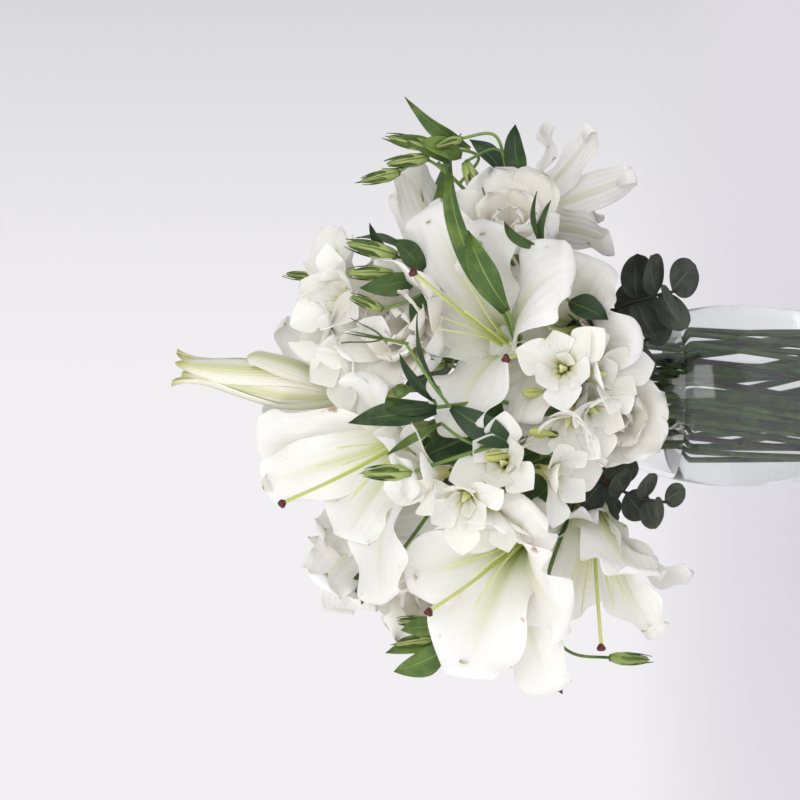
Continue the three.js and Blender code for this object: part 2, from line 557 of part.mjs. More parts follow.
// Lisianthus side shoots: a stem with pointed leaves in pairs and slim buds on thin stalks.
const SHOOTS = [
  { ring: "outer", path: [[-22, -78, 270], [-34, -124, 325], [-50, -132, 376]],
    leaves: [{ from: [-18, -126, 356], to: [-39, -134, 393], width: 6, arch: 0.2 }],
    buds: [[[-50, -132, 376], [-0.02, -0.1, 1], 1.15]],
    stalks: [[[-36, -124, 330], [-28, -126, 344], [-18, -126, 357]]] },
  { ring: "outer", path: [[-12, -64, 274], [-4, -106, 318], [-8, -124, 362]],
    leaves: [
      { from: [-11, -126, 360], to: [-18, -132, 418], width: 17, face: [0.3, -1, 0] },
      { from: [-7, -128, 360], to: [-9, -136, 394], width: 9, face: [-0.3, -1, 0] },
      { from: [-5, -124, 360], to: [27, -140, 385], width: 8, face: [0, -0.7, 0.7] },
      { from: [3, -122, 358], to: [54, -134, 373], width: 7, face: [0, -0.5, 0.8] },
      { from: [-8, -124, 350], to: [-34, -122, 306], width: 20, face: [-0.2, -1, 0] }],
    stalks: [[[-8, -124, 350], [6, -132, 362], [34, -138, 381]]] },
  { ring: "outer", by: [32, -21], path: [[58, -38, 285], [74, -60, 345], [82, -72, 384]],
    leaves: [
      { from: [80, -72, 366], to: [72, -84, 408], width: 16, face: [-0.3, -1, 0] },
      { from: [84, -74, 364], to: [104, -88, 386], width: 17, face: [0.3, -1, 0] },
      { from: [74, -66, 356], to: [44, -88, 372], width: 15, face: [0, -0.8, 0.5] },
      { from: [90, -72, 384], to: [116, -78, 401], width: 8, face: [0, -0.7, 0.7] }],
    buds: [[[82, -74, 384], [0.02, -0.15, 1], 1.1], [[94, -76, 382], [0.25, -0.1, 1], 1.2],
      [[58, -78, 392], [0.35, -0.2, 0.9], 0.8]],
    stalks: [[[76, -62, 356], [90, -72, 370], [94, -76, 384]], [[74, -62, 352], [64, -76, 374], [58, -78, 393]]] },
  { ring: "outer", by: [38, 6], path: [[84, -6, 290], [130, -32, 322], [160, -42, 352]],
    leaves: [
      { from: [170, -44, 330], to: [204, -48, 375], width: 13, face: [-0.6, -0.8, 0.2] },
      { from: [164, -44, 336], to: [172, -58, 366], width: 17, face: [0.2, -1, 0] },
      { from: [160, -40, 344], to: [178, -46, 378], width: 12, face: [0.3, -1, 0] }],
    buds: [[[153, -44, 378], [-0.25, -0.1, 1], 0.95], [[163, -44, 358], [-0.15, 0, 1], 1],
      [[171, -44, 356], [0.2, 0, 1], 1.05]],
    stalks: [[[152, -40, 340], [162, -44, 362], [153, -44, 379]], [[150, -38, 332], [164, -42, 324], [171, -44, 357]]] },
  { ring: "outer", path: [[88, -18, 268], [130, -40, 290], [152, -48, 306]],
    leaves: [
      { from: [143, -50, 293], to: [185, -56, 300], width: 17, face: [0, -0.7, 0.7] },
      { from: [152, -46, 306], to: [176, -40, 330], width: 14, face: [0.4, -0.9, 0] }],
    buds: [[[160, -50, 334], [-0.85, -0.2, -0.35], 1.1], [[176, -48, 336], [-0.3, -0.5, 0.8], 0.8]],
    stalks: [[[140, -44, 298], [168, -54, 312], [160, -50, 334]], [[150, -47, 304], [178, -52, 314], [176, -48, 337]]] },
  { ring: "outer", by: [36, -14], path: [[40, -18, 264], [66, -62, 284], [88, -104, 280], [96, -120, 290]],
    leaves: [
      { from: [92, -118, 288], to: [128, -132, 285], width: 9, face: [0, -0.4, 0.9] },
      { from: [98, -122, 292], to: [114, -134, 316], width: 9, face: [-0.4, -0.8, 0.4], arch: 0.3 },
      { from: [98, -122, 290], to: [134, -130, 294], width: 6, face: [0, -0.4, 0.9] },
      { from: [62, -112, 270], to: [50, -124, 246], width: 18, face: [0.2, -1, 0.2] }],
    stalks: [[[80, -96, 281], [70, -108, 276], [61, -112, 269]]] },
  { ring: "outer", path: [[-70, -20, 290], [-130, -36, 318], [-166, -44, 345]],
    leaves: [
      { from: [-172, -44, 344], to: [-188, -54, 383], width: 20, face: [-0.3, -1, 0] },
      { from: [-166, -42, 346], to: [-176, -46, 388], width: 13, face: [0.3, -1, 0] },
      { from: [-158, -44, 350], to: [-160, -52, 378], width: 14, face: [0.3, -1, 0] }],
    buds: [[[-166, -48, 356], [-0.15, -0.1, 1], 0.9], [[-156, -40, 352], [0.05, 0.1, 1], 0.9]],
    stalks: [[[-160, -43, 342], [-158, -42, 348], [-156, -40, 354]]] },
  { ring: "outer", path: [[-70, -40, 256], [-130, -62, 280], [-172, -68, 282]],
    leaves: [{ from: [-170, -70, 282], to: [-202, -74, 270], width: 13, face: [0, -0.8, 0.5] }],
    buds: [[[-178, -70, 238], [-0.05, -0.05, -1], 0.95]],
    stalks: [[[-160, -67, 283], [-175, -70, 262], [-178, -70, 237]]] },
  { ring: "outer", path: [[56, 10, 320], [72, 14, 390], [80, 10, 432]],
    leaves: [{ from: [100, -4, 366], to: [112, 30, 404], width: 14, face: [0.6, 0.3, 0.6] }],
    buds: [[[83, 6, 434], [0.1, -0.1, 1], 0.7], [[52, 10, 424], [0.05, 0, 1], 0.7],
      [[29, 4, 426], [0, 0, 1], 0.7]],
    stalks: [[[72, 12, 384], [60, 12, 404], [52, 10, 425]], [[66, 12, 366], [40, 8, 396], [29, 4, 427]],
      [[74, 10, 372], [88, 0, 356], [100, -4, 367]]] },
  { ring: "outer", path: [[-50, 20, 320], [-110, 26, 372], [-128, 16, 388]],
    leaves: [
      { from: [-124, 10, 388], to: [-146, -2, 402], width: 10, face: [0, -0.8, 0.5] },
      { from: [-128, 14, 388], to: [-128, -2, 408], width: 11, face: [0.2, -0.9, 0.3] }],
    buds: [[[-128, 18, 388], [-0.5, 0.4, 0.7], 0.9]] },
  { ring: "outer", by: [-4, 38], path: [[-2, 62, 285], [16, 118, 312], [24, 140, 330]],
    leaves: [
      { from: [24, 138, 326], to: [4, 158, 362], width: 18, face: [0.2, 1, 0] },
      { from: [26, 138, 322], to: [52, 152, 356], width: 16, face: [-0.2, 1, 0.2] },
      { from: [24, 130, 312], to: [-14, 152, 300], width: 18, face: [0, 0.8, 0.5] }],
    buds: [[[24, 140, 330], [0, 0.2, 1], 1.1]] },
];
const BUD_LENGTH = 30;
const BUD_RADIUS = 6;
const SLIM_BUD = [[0, 0], [0.9, 0.25], [0.7, 0.65], [0, 1]];

// ---- eucalyptus ----------------------------------------------------------------------------------
// Round-leaved eucalyptus: twigs that hang over the rim, with leaves in pairs along them. `first` and
// `last` are the sizes of the leaves at the two ends.
const EUCALYPTUS = [
  { ring: "outer", path: [[-36, -46, 248], [-54, -72, 246], [-68, -92, 222], [-72, -100, 200]], first: 20, last: 12, pairs: 3 },
  { ring: "outer", path: [[38, -48, 248], [54, -80, 242], [66, -98, 214], [70, -102, 196]], first: 27, last: 22, pairs: 2 },
  { ring: "outer", path: [[20, -56, 250], [30, -78, 242], [38, -92, 212]], first: 24, last: 20, pairs: 2 },
  { ring: "outer", path: [[-44, 42, 250], [-76, 74, 248], [-96, 96, 214]], first: 24, last: 18, pairs: 2 },
];

// The centre, facing and size of each leaf of a twig.
function eucalyptusPlaces(row) {
  const curve = smoothLine(row.path.map(vec));
  const frontOrBack = Math.sign(row.path[0][1]);
  const places = [];
  for (let k = 0; k < row.pairs; k += 1) {
    const s = 0.45 + (0.55 * (k + 0.2)) / row.pairs;
    const size = THREE.MathUtils.lerp(row.first, row.last, k / Math.max(row.pairs - 1, 1));
    const tangent = curve.getTangent(s);
    const side = squareTo(tangent).applyAxisAngle(tangent, (k * Math.PI) / 2 + 0.5);
    for (const way of [1, -1]) {
      const centre = beyond(curve.getPoint(s), side, way * (size / 2 + 1));
      const normal = tangent.clone().multiplyScalar(0.75).addScaledVector(side, -0.35 * way);
      normal.add(new THREE.Vector3(0, 0.5 * frontOrBack, 0.1)).normalize();
      places.push({ centre, normal, size });
    }
  }
  return places;
}

const eucalyptusSeats = (row) =>
  eucalyptusPlaces(row).map(({ centre }) => ({ at: centre, direction: new THREE.Vector3() }));

// Each round leaf is a thin disc.
function eucalyptusLeaves(row, grow) {
  const half = LEAF_THICKNESS / 2 + grow;
  return union(eucalyptusPlaces(row).map(({ centre, normal, size }) =>
    turned([[0, -half], [size / 2 + grow, -half], [size / 2 + grow, half], [0, half]], 6, centre, normal)));
}

// ---- the assembly --------------------------------------------------------------------------------
// Each plant is a core, which keeps its whole shape, and a soft part, which gives way to every core and
// to the soft parts before it. Stems, styles and the vase are cores; petals, leaves and buds are soft.
for (const row of LILY_STEMS) row.route = throughNeck("lily", row.towards);
for (const row of [...EUCALYPTUS, ...SHOOTS, ...LISIANTHUS, ...FREESIAS]) {
  row.route = throughNeck(row.ring, row.by ?? row.path[0]);
}

const plants = [];
const plant = (name, material, core, soft) => plants.push({ name, material, core, soft });

// Where blossoms, buds and leaves sit on a spray, and which way each of them points.
const bellSeat = ([at, direction]) => ({ at: vec(at), direction: vec(direction).normalize() });
const leafSeat = ({ from, to }) => ({ at: vec(from), direction: vec(to).sub(vec(from)).normalize() });

// A spray's core: its own stem from the vase's floor, with any side stalks, and a short stalk to each
// thing that sits on it.
function sprayCore(row, grow) {
  const points = [...row.route, ...row.path.map(vec)];
  const steps = row.path.length + 4;
  const lines = [smoothLine(points).getSpacedPoints(steps)];
  const stalks = (row.stalks ?? []).map(([root, ...rest]) => [nearestOn(lines, vec(root)), ...rest.map(vec)]);
  lines.push(...stalks.map((stalk) => smoothLine(stalk).getSpacedPoints(2)));
  const parts = [stem(points, THIN_STEM_RADIUS, 3, steps, grow)];
  for (const stalk of stalks) parts.push(stem(stalk, STALK_RADIUS, 3, 2, grow));
  for (const { at, direction } of row.seats) {
    parts.push(stem([nearestOn(lines, at), beyond(at, direction, 3)], STALK_RADIUS, 3, 1, grow));
  }
  return union(parts);
}

plant("vase", FINISHES.glass, vase);
LILY_STEMS.forEach((row, i) => {
  const blades = LILY_LEAVES[i];
  row.seats = blades.map(leafSeat);
  const soft = blades.length ? (grow) => union(blades.map((b) => leaf(b, grow))) : undefined;
  plant(`lily_stem_${i + 1}`, FINISHES.stem, (grow) => lilyStemCore(row, grow), soft);
});
LILIES.forEach((lily, i) => {
  plant(`lily_${i + 1}_pistil`, FINISHES.style, (grow) => pistil(lily, grow));
});
LILIES.forEach((lily, i) => {
  plant(`lily_${i + 1}`, FINISHES.petal, undefined, (grow) => corolla(lily, grow));
});
plant("lily_bud_1", FINISHES.bud, undefined, (grow) =>
  union([lilyBud(LILY_BUDS[0], grow), openBudTips(LILY_BUDS[0], grow)]));
plant("lily_bud_2", FINISHES.bud, undefined, (grow) => lilyBud(LILY_BUDS[1], grow));
FREESIAS.forEach((row, i) => {
  row.seats = [...row.blossoms, ...row.buds].map(bellSeat);
  plant(`freesia_${i + 1}`, FINISHES.freesia, (grow) => sprayCore(row, grow), (grow) =>
    union([
      ...row.blossoms.map((b) => bell(FREESIA_PROFILE, FREESIA_LENGTH, FREESIA_MOUTH, b, 4, grow)),
      ...row.buds.map((b) => bell(FREESIA_BUD, FREESIA_LENGTH, FREESIA_MOUTH, b, 4, grow)),
    ]));
});
LISIANTHUS.forEach((row, i) => {
  row.seats = [bellSeat(row.flower)];
  plant(`lisianthus_${i + 1}`, FINISHES.lisianthus, (grow) => sprayCore(row, grow), (grow) =>
    bell(LISIANTHUS_PROFILE, LISIANTHUS_LENGTH, LISIANTHUS_MOUTH, row.flower, 6, grow));
});
SHOOTS.forEach((row, i) => {
  row.seats = [...row.leaves.map(leafSeat), ...(row.buds ?? []).map(bellSeat)];
  plant(`lisianthus_shoot_${i + 1}`, FINISHES.leaf, (grow) => sprayCore(row, grow), (grow) =>
    union([
      ...row.leaves.map((l) => leaf(l, grow)),
      ...(row.buds ?? []).map((b) => bell(SLIM_BUD, BUD_LENGTH, BUD_RADIUS, b, 4, grow)),
    ]));
});
EUCALYPTUS.forEach((row, i) => {
  row.seats = eucalyptusSeats(row);
  plant(`eucalyptus_${i + 1}`, FINISHES.eucalyptus, (grow) => sprayCore(row, grow), (grow) =>
    eucalyptusLeaves(row, grow));
});

const boxesMeet = (a, b) =>
  [0, 1, 2].every((i) => a.min[i] < b.max[i] && b.min[i] < a.max[i]);

// A solid with room left round every other piece that its box meets.
function clearOf(solid, others) {
  const near = others.filter((other) => boxesMeet(solid.boundingBox(), other.boundingBox()));
  return near.length ? solid.subtract(union(near)) : solid;
}

// The one body of a piece: cutting can leave crumbs beside it, which are dropped.
function oneBody(solid) {
  const bodies = solid.simplify(0.25 * SMALLEST_DETAIL).decompose();
  return bodies.reduce((best, body) => (body.volume() > best.volume() ? body : best));
}

const coreRooms = [];
for (const piece of plants) {
  if (!piece.core) continue;
  piece.coreSolid = clearOf(tidied(piece.core(0)), coreRooms.map((room) => room.solid));
  coreRooms.push({ piece, solid: tidied(piece.core(CLEARANCE)) });
}

const softRooms = [];
for (const piece of plants) {
  const parts = piece.coreSolid ? [piece.coreSolid] : [];
  if (piece.soft) {
    const others = coreRooms.filter((room) => room.piece !== piece).map((room) => room.solid);
    parts.push(clearOf(tidied(piece.soft(0)), [...others, ...softRooms]));
    softRooms.push(tidied(piece.soft(CLEARANCE)));
  }
  piece.solid = oneBody(union(parts));
}

// Where the coarse clearances still let two pieces meet, the later one gives way on every side.
const NUDGES = [[0, 0, 0], [1, 0, 0], [-1, 0, 0], [0, 1, 0], [0, -1, 0], [0, 0, 1], [0, 0, -1]];
plants.forEach((piece, i) => {
  for (const { solid } of plants.slice(0, i)) {
    if (!boxesMeet(solid.boundingBox(), piece.solid.boundingBox())) continue;
    if (piece.solid.intersect(solid).volume() < 1e-4) continue;
    const halo = union(NUDGES.map((way) => solid.translate(way.map((w) => w * NUDGE))));
    piece.solid = oneBody(piece.solid.subtract(halo));
  }
});
const water = oneBody(clearOf(waterBody(), coreRooms.slice(1).map((room) => room.solid)));
plants.splice(1, 0, { name: "water", material: FINISHES.water, solid: water });

const group = new THREE.Group();
for (const piece of plants) {
  const mesh = new THREE.Mesh(geometryOf(piece.solid), piece.material);
  mesh.name = piece.name;
  group.add(mesh);
}

export default group;
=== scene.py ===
import math

import bpy
import numpy as np
from mathutils import Matrix


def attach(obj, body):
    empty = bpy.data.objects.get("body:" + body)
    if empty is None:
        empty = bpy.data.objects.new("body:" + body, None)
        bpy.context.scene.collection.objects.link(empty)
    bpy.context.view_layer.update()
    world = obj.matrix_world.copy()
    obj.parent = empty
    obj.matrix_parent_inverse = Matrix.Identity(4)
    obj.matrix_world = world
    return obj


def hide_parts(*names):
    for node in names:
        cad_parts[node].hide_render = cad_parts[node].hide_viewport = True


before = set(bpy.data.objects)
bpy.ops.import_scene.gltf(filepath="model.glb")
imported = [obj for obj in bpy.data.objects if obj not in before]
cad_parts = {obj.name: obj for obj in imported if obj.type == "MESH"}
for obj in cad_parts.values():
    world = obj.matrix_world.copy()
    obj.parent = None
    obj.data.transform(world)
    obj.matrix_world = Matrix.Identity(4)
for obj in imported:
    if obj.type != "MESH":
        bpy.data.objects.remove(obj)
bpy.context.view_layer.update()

# ---- camera ------------------------------------------------------------------------------------------
# It looks at the bouquet from the front and a little from above, turned on its side, so that the top of
# the bouquet points to the left.
aim = np.array([-0.003, 0.0, 0.375])
distance = 2.0
view_width = 0.56
tilt = math.radians(4)
lens = bpy.data.cameras.new("camera")
lens.sensor_width = 36.0
lens.lens = lens.sensor_width * distance / view_width
camera = bpy.data.objects.new("camera", lens)
bpy.context.scene.collection.objects.link(camera)
to_camera = np.array([0.0, -math.cos(tilt), math.sin(tilt)])
view_up = np.array([1.0, 0.0, 0.0])
view_right = np.cross(view_up, to_camera)
pose = np.eye(4)
pose[:3, :4] = np.column_stack([view_right, view_up, to_camera, aim + distance * to_camera])
camera.matrix_world = Matrix(pose.tolist())
lens.clip_end = 50.0
bpy.context.scene.camera = camera
bpy.context.scene.view_settings.view_transform = "Standard"
bpy.context.scene.cycles.max_bounces = 16
bpy.context.scene.cycles.diffuse_bounces = 10

# ---- vase --------------------------------------------------------------------------------------------
# A blown clear glass vase with a round belly, a narrower neck and a thick heavy foot. It is one piece with
# a softly rounded lip.
MM = 0.001
TURN = 2 * math.pi
VASE_HEIGHT = 230
VASE_WALL = 3.6
VASE_FLOOR = 16
# The outside, as radius and height.
OUTLINE = [(47, 5), (53, 50), (62, 105), (64, 145), (59.5, 180), (52.6, 205), (48.6, 219), (50, 228.5)]


def unit(v):
    """Vectors scaled to length one."""
    return v / np.maximum(np.linalg.norm(v, axis=-1, keepdims=True), 1e-12)


def smooth_line(points, steps):
    """A centripetal Catmull-Rom curve through the points, with some steps between each two of them."""
    p = np.asarray(points, float)
    p = np.vstack([2 * p[0] - p[1], p, 2 * p[-1] - p[-2]])
    gap = np.sqrt(np.linalg.norm(np.diff(p, axis=0), axis=1))[:, None]
    a, b, c, d = p[:-3], p[1:-2], p[2:-1], p[3:]
    g, h, k = gap[:-2], gap[1:-1], gap[2:]
    leave = h * ((b - a) / g - (c - a) / (g + h) + (c - b) / h)
    reach = h * ((c - b) / h - (d - b) / (h + k) + (d - c) / k)
    t = (np.arange(steps) / steps)[None, :, None]
    b, c, leave, reach = b[:, None], c[:, None], leave[:, None], reach[:, None]
    bow = 3 * c - 3 * b - 2 * leave - reach
    swing = 2 * b - 2 * c + leave + reach
    curve = b + leave * t + bow * t**2 + swing * t**3
    return np.vstack([curve.reshape(-1, p.shape[1]), p[-2]])


def grid_quads(rows, columns):
    """The faces of a grid of rows whose columns close round into a ring."""
    i = np.arange(rows - 1)[:, None] * columns
    j = np.arange(columns)[None, :]
    k = (j + 1) % columns
    return np.stack([i + j, i + columns + j, i + columns + k, i + k], axis=-1).reshape(-1, 4)


def rings_part(rings, coordinates):
    """A closed part from rings of points: quads between the rings and one face over each end."""
    rows, columns = rings.shape[:2]
    last = (rows - 1) * columns
    faces = grid_quads(rows, columns).tolist()
    faces.append(list(range(columns)))
    faces.append(list(range(last + columns - 1, last - 1, -1)))
    return rings.reshape(-1, 3), faces, coordinates.reshape(-1, 2)


def square_to(direction):
    """A unit vector square to a direction."""
    other = (0.0, 0.0, 1.0) if abs(direction[2]) < 0.9 else (1.0, 0.0, 0.0)
    return unit(np.cross(direction, other))


def turned(profile, at=(0, 0, 0), direction=(0, 0, 1), sides=64, lobes=0, depth=0.0, twist=0.0):
    """A profile of radius and height turned about an axis through a point. With lobes the radius swells and
    shrinks by a share of itself as a cosine of the angle, which runs on by twist turns up the axis."""
    profile = np.asarray(profile, float)
    radius, height = np.maximum(profile[:, :1], 0.02), profile[:, 1:]
    angle = (TURN * np.arange(sides) / sides)[None, :]
    share = (height - height.min()) / max(np.ptp(height), 1e-9)
    radius = radius * (1 + depth * np.cos(lobes * (angle + TURN * twist * share)))
    axis = unit(np.asarray(direction, float))
    e1 = square_to(axis)
    e2 = np.cross(axis, e1)
    rings = np.asarray(at, float) + height[..., None] * axis
    rings = rings - radius[..., None] * (np.cos(angle)[..., None] * e1 - np.sin(angle)[..., None] * e2)
    across = np.broadcast_to(angle / TURN, radius.shape)
    return rings_part(rings, np.stack([across, np.broadcast_to(share, radius.shape)], axis=-1))


def piece(name, parts, material, slot, *replaced):
    """One smooth piece from parts in millimetres. Its map holds each part's place across and along it, and
    its tint attribute one random number for each part."""
    counts = [len(points) for points, _, _ in parts]
    starts = np.concatenate([[0], np.cumsum(counts)[:-1]])
    points = np.concatenate([part[0] for part in parts]) * MM
    faces = [[v + int(start) for v in face] for (_, part, _), start in zip(parts, starts) for face in part]
    coordinates = np.concatenate([part[2] for part in parts])
    mesh = bpy.data.meshes.new(name)
    mesh.from_pydata(points.tolist(), [], faces)
    corners = np.zeros(len(mesh.loops), np.int32)
    mesh.loops.foreach_get("vertex_index", corners)
    layer = mesh.uv_layers.new(name="along")
    layer.data.foreach_set("uv", coordinates[corners].astype(np.float32).ravel())
    numbers = np.random.default_rng(len(faces)).random(len(parts))
    tint = mesh.attributes.new("tint", "FLOAT", "POINT")
    tint.data.foreach_set("value", np.repeat(numbers, counts).astype(np.float32))
    mesh.polygons.foreach_set("use_smooth", np.ones(len(mesh.polygons), bool))
    mesh.materials.append(material)
    made = bpy.data.objects.new(name, mesh)
    bpy.context.scene.collection.objects.link(made)
    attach(made, "root")
    if replaced:
        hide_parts(*replaced)
    return made


def colour(code):
    """A colour written as six hex digits, as light amounts with full alpha."""
    parts = [int(code[i:i + 2], 16) / 255 for i in (0, 2, 4)]
    return tuple(c / 12.92 if c <= 0.04045 else ((c + 0.055) / 1.055) ** 2.4 for c in parts) + (1.0,)


def finish(name, shade, roughness, **constants):
    """A material of one Principled shader with these constants. Returns the material and its shader."""
    material = bpy.data.materials.new(name)
    material.use_nodes = True
    shader = material.node_tree.nodes["Principled BSDF"]
    shader.inputs["Base Color"].default_value = colour(shade)
    shader.inputs["Roughness"].default_value = roughness
    for socket, value in constants.items():
        shader.inputs[socket.replace("_", " ")].default_value = value
    return material, shader


outline = smooth_line(OUTLINE, 8)
outer_foot = [(0, 0), (30, 0), (41, 0), (44.5, 1), (46.3, 2.8)]
lip_angle = np.linspace(0, math.pi, 9)[1:-1]
lip = np.column_stack([48.2 + 1.8 * np.cos(lip_angle), 228.5 + 1.8 * np.sin(lip_angle)])
inside = outline[outline[:, 1] > VASE_FLOOR + 6][::-1] - (VASE_WALL, 0)
well = [(44.4, 18.6), (41, 16.6), (36, 16), (20, 16), (0, 16)]
glass, _ = finish("clear_glass", "fcfdfd", 0.0, Transmission_Weight=1.0, IOR=1.46)
piece("vase_body", [turned(np.vstack([outer_foot, outline, lip, inside, well]), sides=96)], glass,
      "vase_glass", "vase")

# ---- water -------------------------------------------------------------------------------------------
# Clear water that fills the vase to a little below the neck and wets the glass all round.
WATER_LEVEL = 182
SKIN_OVERLAP = 0.25
wet = inside[inside[:, 1] < WATER_LEVEL - 3][::-1] + (SKIN_OVERLAP, 0)
edge = np.interp(WATER_LEVEL, outline[:, 1], outline[:, 0]) - VASE_WALL + SKIN_OVERLAP
top = [(edge, WATER_LEVEL + 0.6), (edge - 1.2, WATER_LEVEL), (edge - 5, WATER_LEVEL - 0.3),
       (0, WATER_LEVEL - 0.3)]
bed = [(0, 15.8), (36, 15.8), (41.2, 16.4), (44.6, 18.4)]
clear, _ = finish("clear_water", "fafcfa", 0.0, Transmission_Weight=1.0, IOR=1.33)
piece("water_body", [turned(np.vstack([bed, wet, top]), sides=96)], clear, "water", "water")

# ---- lily stems and their leaves ---------------------------------------------------------------------
# Five cut lily stems stand spirally in the vase. Each forks above the rim into a stalk for every flower
# and bud, and carries a few long folded leaves.
STEM_TWIST = math.radians(50)
# Three rings of places in the neck: radius, number of places, and how much wider it is at the floor.
NECK_RINGS = {"lily": (15, 5, 1.3), "inner": (28, 12, 1.25), "outer": (38, 17, 0.93)}
RECEPTACLE = 6.5
# A tepal has its tip's place from the flower's base, its width, and its bow along the axis and outwards.
LILIES = [
    dict(base=(-23, -32, 358), stigma=(-72, -85, 460), tepals=[
        (-6, 32, 119, 50, 0.18, 0), (-37, 12, 112, 38, 0.15, 0.1), (-74, -8, 46, 50, 0.45, 0.05),
        (-116, -43, 22, 56, 0.3, 0.05), (-27, -104, 12, 42, 0.25, 0), (43, -42, 34, 52, 0.5, 0.1)]),
    dict(base=(-94, -58, 290), stigma=(-141, -140, 366), tepals=[
        (-97, -37, 46, 58, 0.15, 0), (-26, -17, 87, 44, 0.2, 0.05), (13, -42, 55, 40, 0.4, 0.1),
        (-103, -22, -22, 42, 0.3, 0.15), (-47, -72, -26, 56, 0.4, 0.1), (26, -77, 2, 44, 0.3, 0)]),
    dict(base=(-67, -50, 247), stigma=(-169, -92, 246), tepals=[
        (3, -38, 48, 50, 0.6, 0.2), (-93, -30, -44, 56, 0.2, 0), (-53, -20, -70, 44, 0.3, 0),
        (-91, 20, 17, 40, 0.1, 0), (-46, -72, -28, 46, 0.25, 0), (-66, 66, 40, 42, 0.3, 0)]),
    dict(base=(30, -70, 300), stigma=(80, -140, 376), tepals=[
        (-64, -42, 37, 50, 0.4, 0.1), (18, 10, 68, 38, 0.2, 0), (54, 12, 72, 48, 0.1, 0),
        (100, -2, 62, 46, 0.1, 0), (46, -78, -38, 54, 0.5, 0.15), (88, -38, 22, 42, 0.15, 0)]),
    dict(base=(46, -60, 255), stigma=(24, -138, 315), tepals=[
        (-40, -25, 67, 44, 0.15, 0), (-66, -46, 43, 36, 0.35, 0), (-8, -68, -37, 36, 0.3, 0),
        (46, -48, -15, 42, 0.5, 0.1), (39, -8, 55, 40, 0.2, 0), (-41, -58, -17, 38, 0.3, 0)]),
    dict(base=(118, -15, 305), stigma=(150, 15, 222), tepals=[
        (69, -25, -58, 33, 0.25, 0.05), (34, -35, -89, 31, 0.2, 0), (-21, -45, -63, 40, 0.45, 0.1),
        (8, 27, -72, 34, 0.2, 0), (75, 55, -28, 38, 0.3, 0), (-8, 80, -48, 38, 0.3, 0)]),
    dict(base=(72, 0, 322), stigma=(132, 62, 372), tepals=[
        (86, -25, 42, 42, 0.5, 0), (72, 30, 46, 42, 0.4, 0), (54, -52, 32, 44, 0.35, 0.1),
        (66, 78, -2, 44, 0.3, 0), (26, 92, 30, 42, 0.25, 0), (16, 50, 68, 42, 0.3, 0)]),
    dict(base=(-78, 25, 382), stigma=(-138, 95, 420), tepals=[
        (-68, -22, 14, 42, 0.5, 0), (-50, -32, 48, 44, 0.4, 0.1), (-17, -5, 50, 42, 0.3, 0),
        (-22, 60, 45, 42, 0.25, 0), (-78, 42, 30, 42, 0.3, 0), (-52, 72, -18, 42, 0.3, 0)]),
    dict(base=(-62, 62, 296), stigma=(-108, 140, 342), spread=(20, 56, 100)),
    dict(base=(62, 66, 300), stigma=(100, 148, 344), spread=(45, 58, 98)),
    dict(base=(4, 48, 372), stigma=(0, 122, 438), spread=(10, 54, 98)),
    dict(base=(0, 62, 252), stigma=(8, 160, 256), spread=(0, 58, 92)),
]
LILY_BUDS = [
    dict(base=(1, -6, 410), axis=(0.16, -0.02, 0.99)),
    dict(base=(-52, -36, 262), axis=(-0.3, -0.85, 0.2)),
]
LILY_STEMS = [
    dict(towards=(-60, -40), fork=(-22, -14, 250), carries=(1, 2), bud=1),
    dict(towards=(-20, 5), fork=(-10, 2, 320), carries=(0, 7), bud=0),
    dict(towards=(30, -55), fork=(12, -18, 252), carries=(3, 4)),
    dict(towards=(70, 0), fork=(30, -2, 285), carries=(5, 6)),
    dict(towards=(0, 60), fork=(0, 24, 262), carries=(8, 9, 10, 11)),
]
# A leaf has its two ends, its width, the way that it faces and how much it arches.
LILY_LEAVES = [
    [],
    [((-10, 30, 330), (-70, 105, 400), 24, (0, 0.6, 0.8), 0.12)],
    [((54, -122, 315), (155, -126, 350), 17, (0, -0.5, 0.86), 0.16),
     ((56, -132, 313), (108, -136, 340), 20, (-0.2, -0.8, 0.6), 0.12)],
    [((100, -12, 338), (186, 22, 330), 24, (0.1, -0.3, 0.9), 0.12),
     ((66, 30, 268), (140, 84, 240), 26, (0.5, 0.5, 0.7), 0.12)],
    [((-24, 52, 244), (-104, 118, 232), 26, (-0.3, 0.5, 0.8), 0.12),
     ((30, 56, 246), (62, 142, 226), 24, (0.3, 0.5, 0.8), 0.12)],
]
for lily in LILIES:
    lily["base"] = np.array(lily["base"], float)
    lily["axis"] = unit(np.array(lily["stigma"], float) - lily["base"])
taken = set()
SEED = 11
random = np.random.default_rng(SEED)


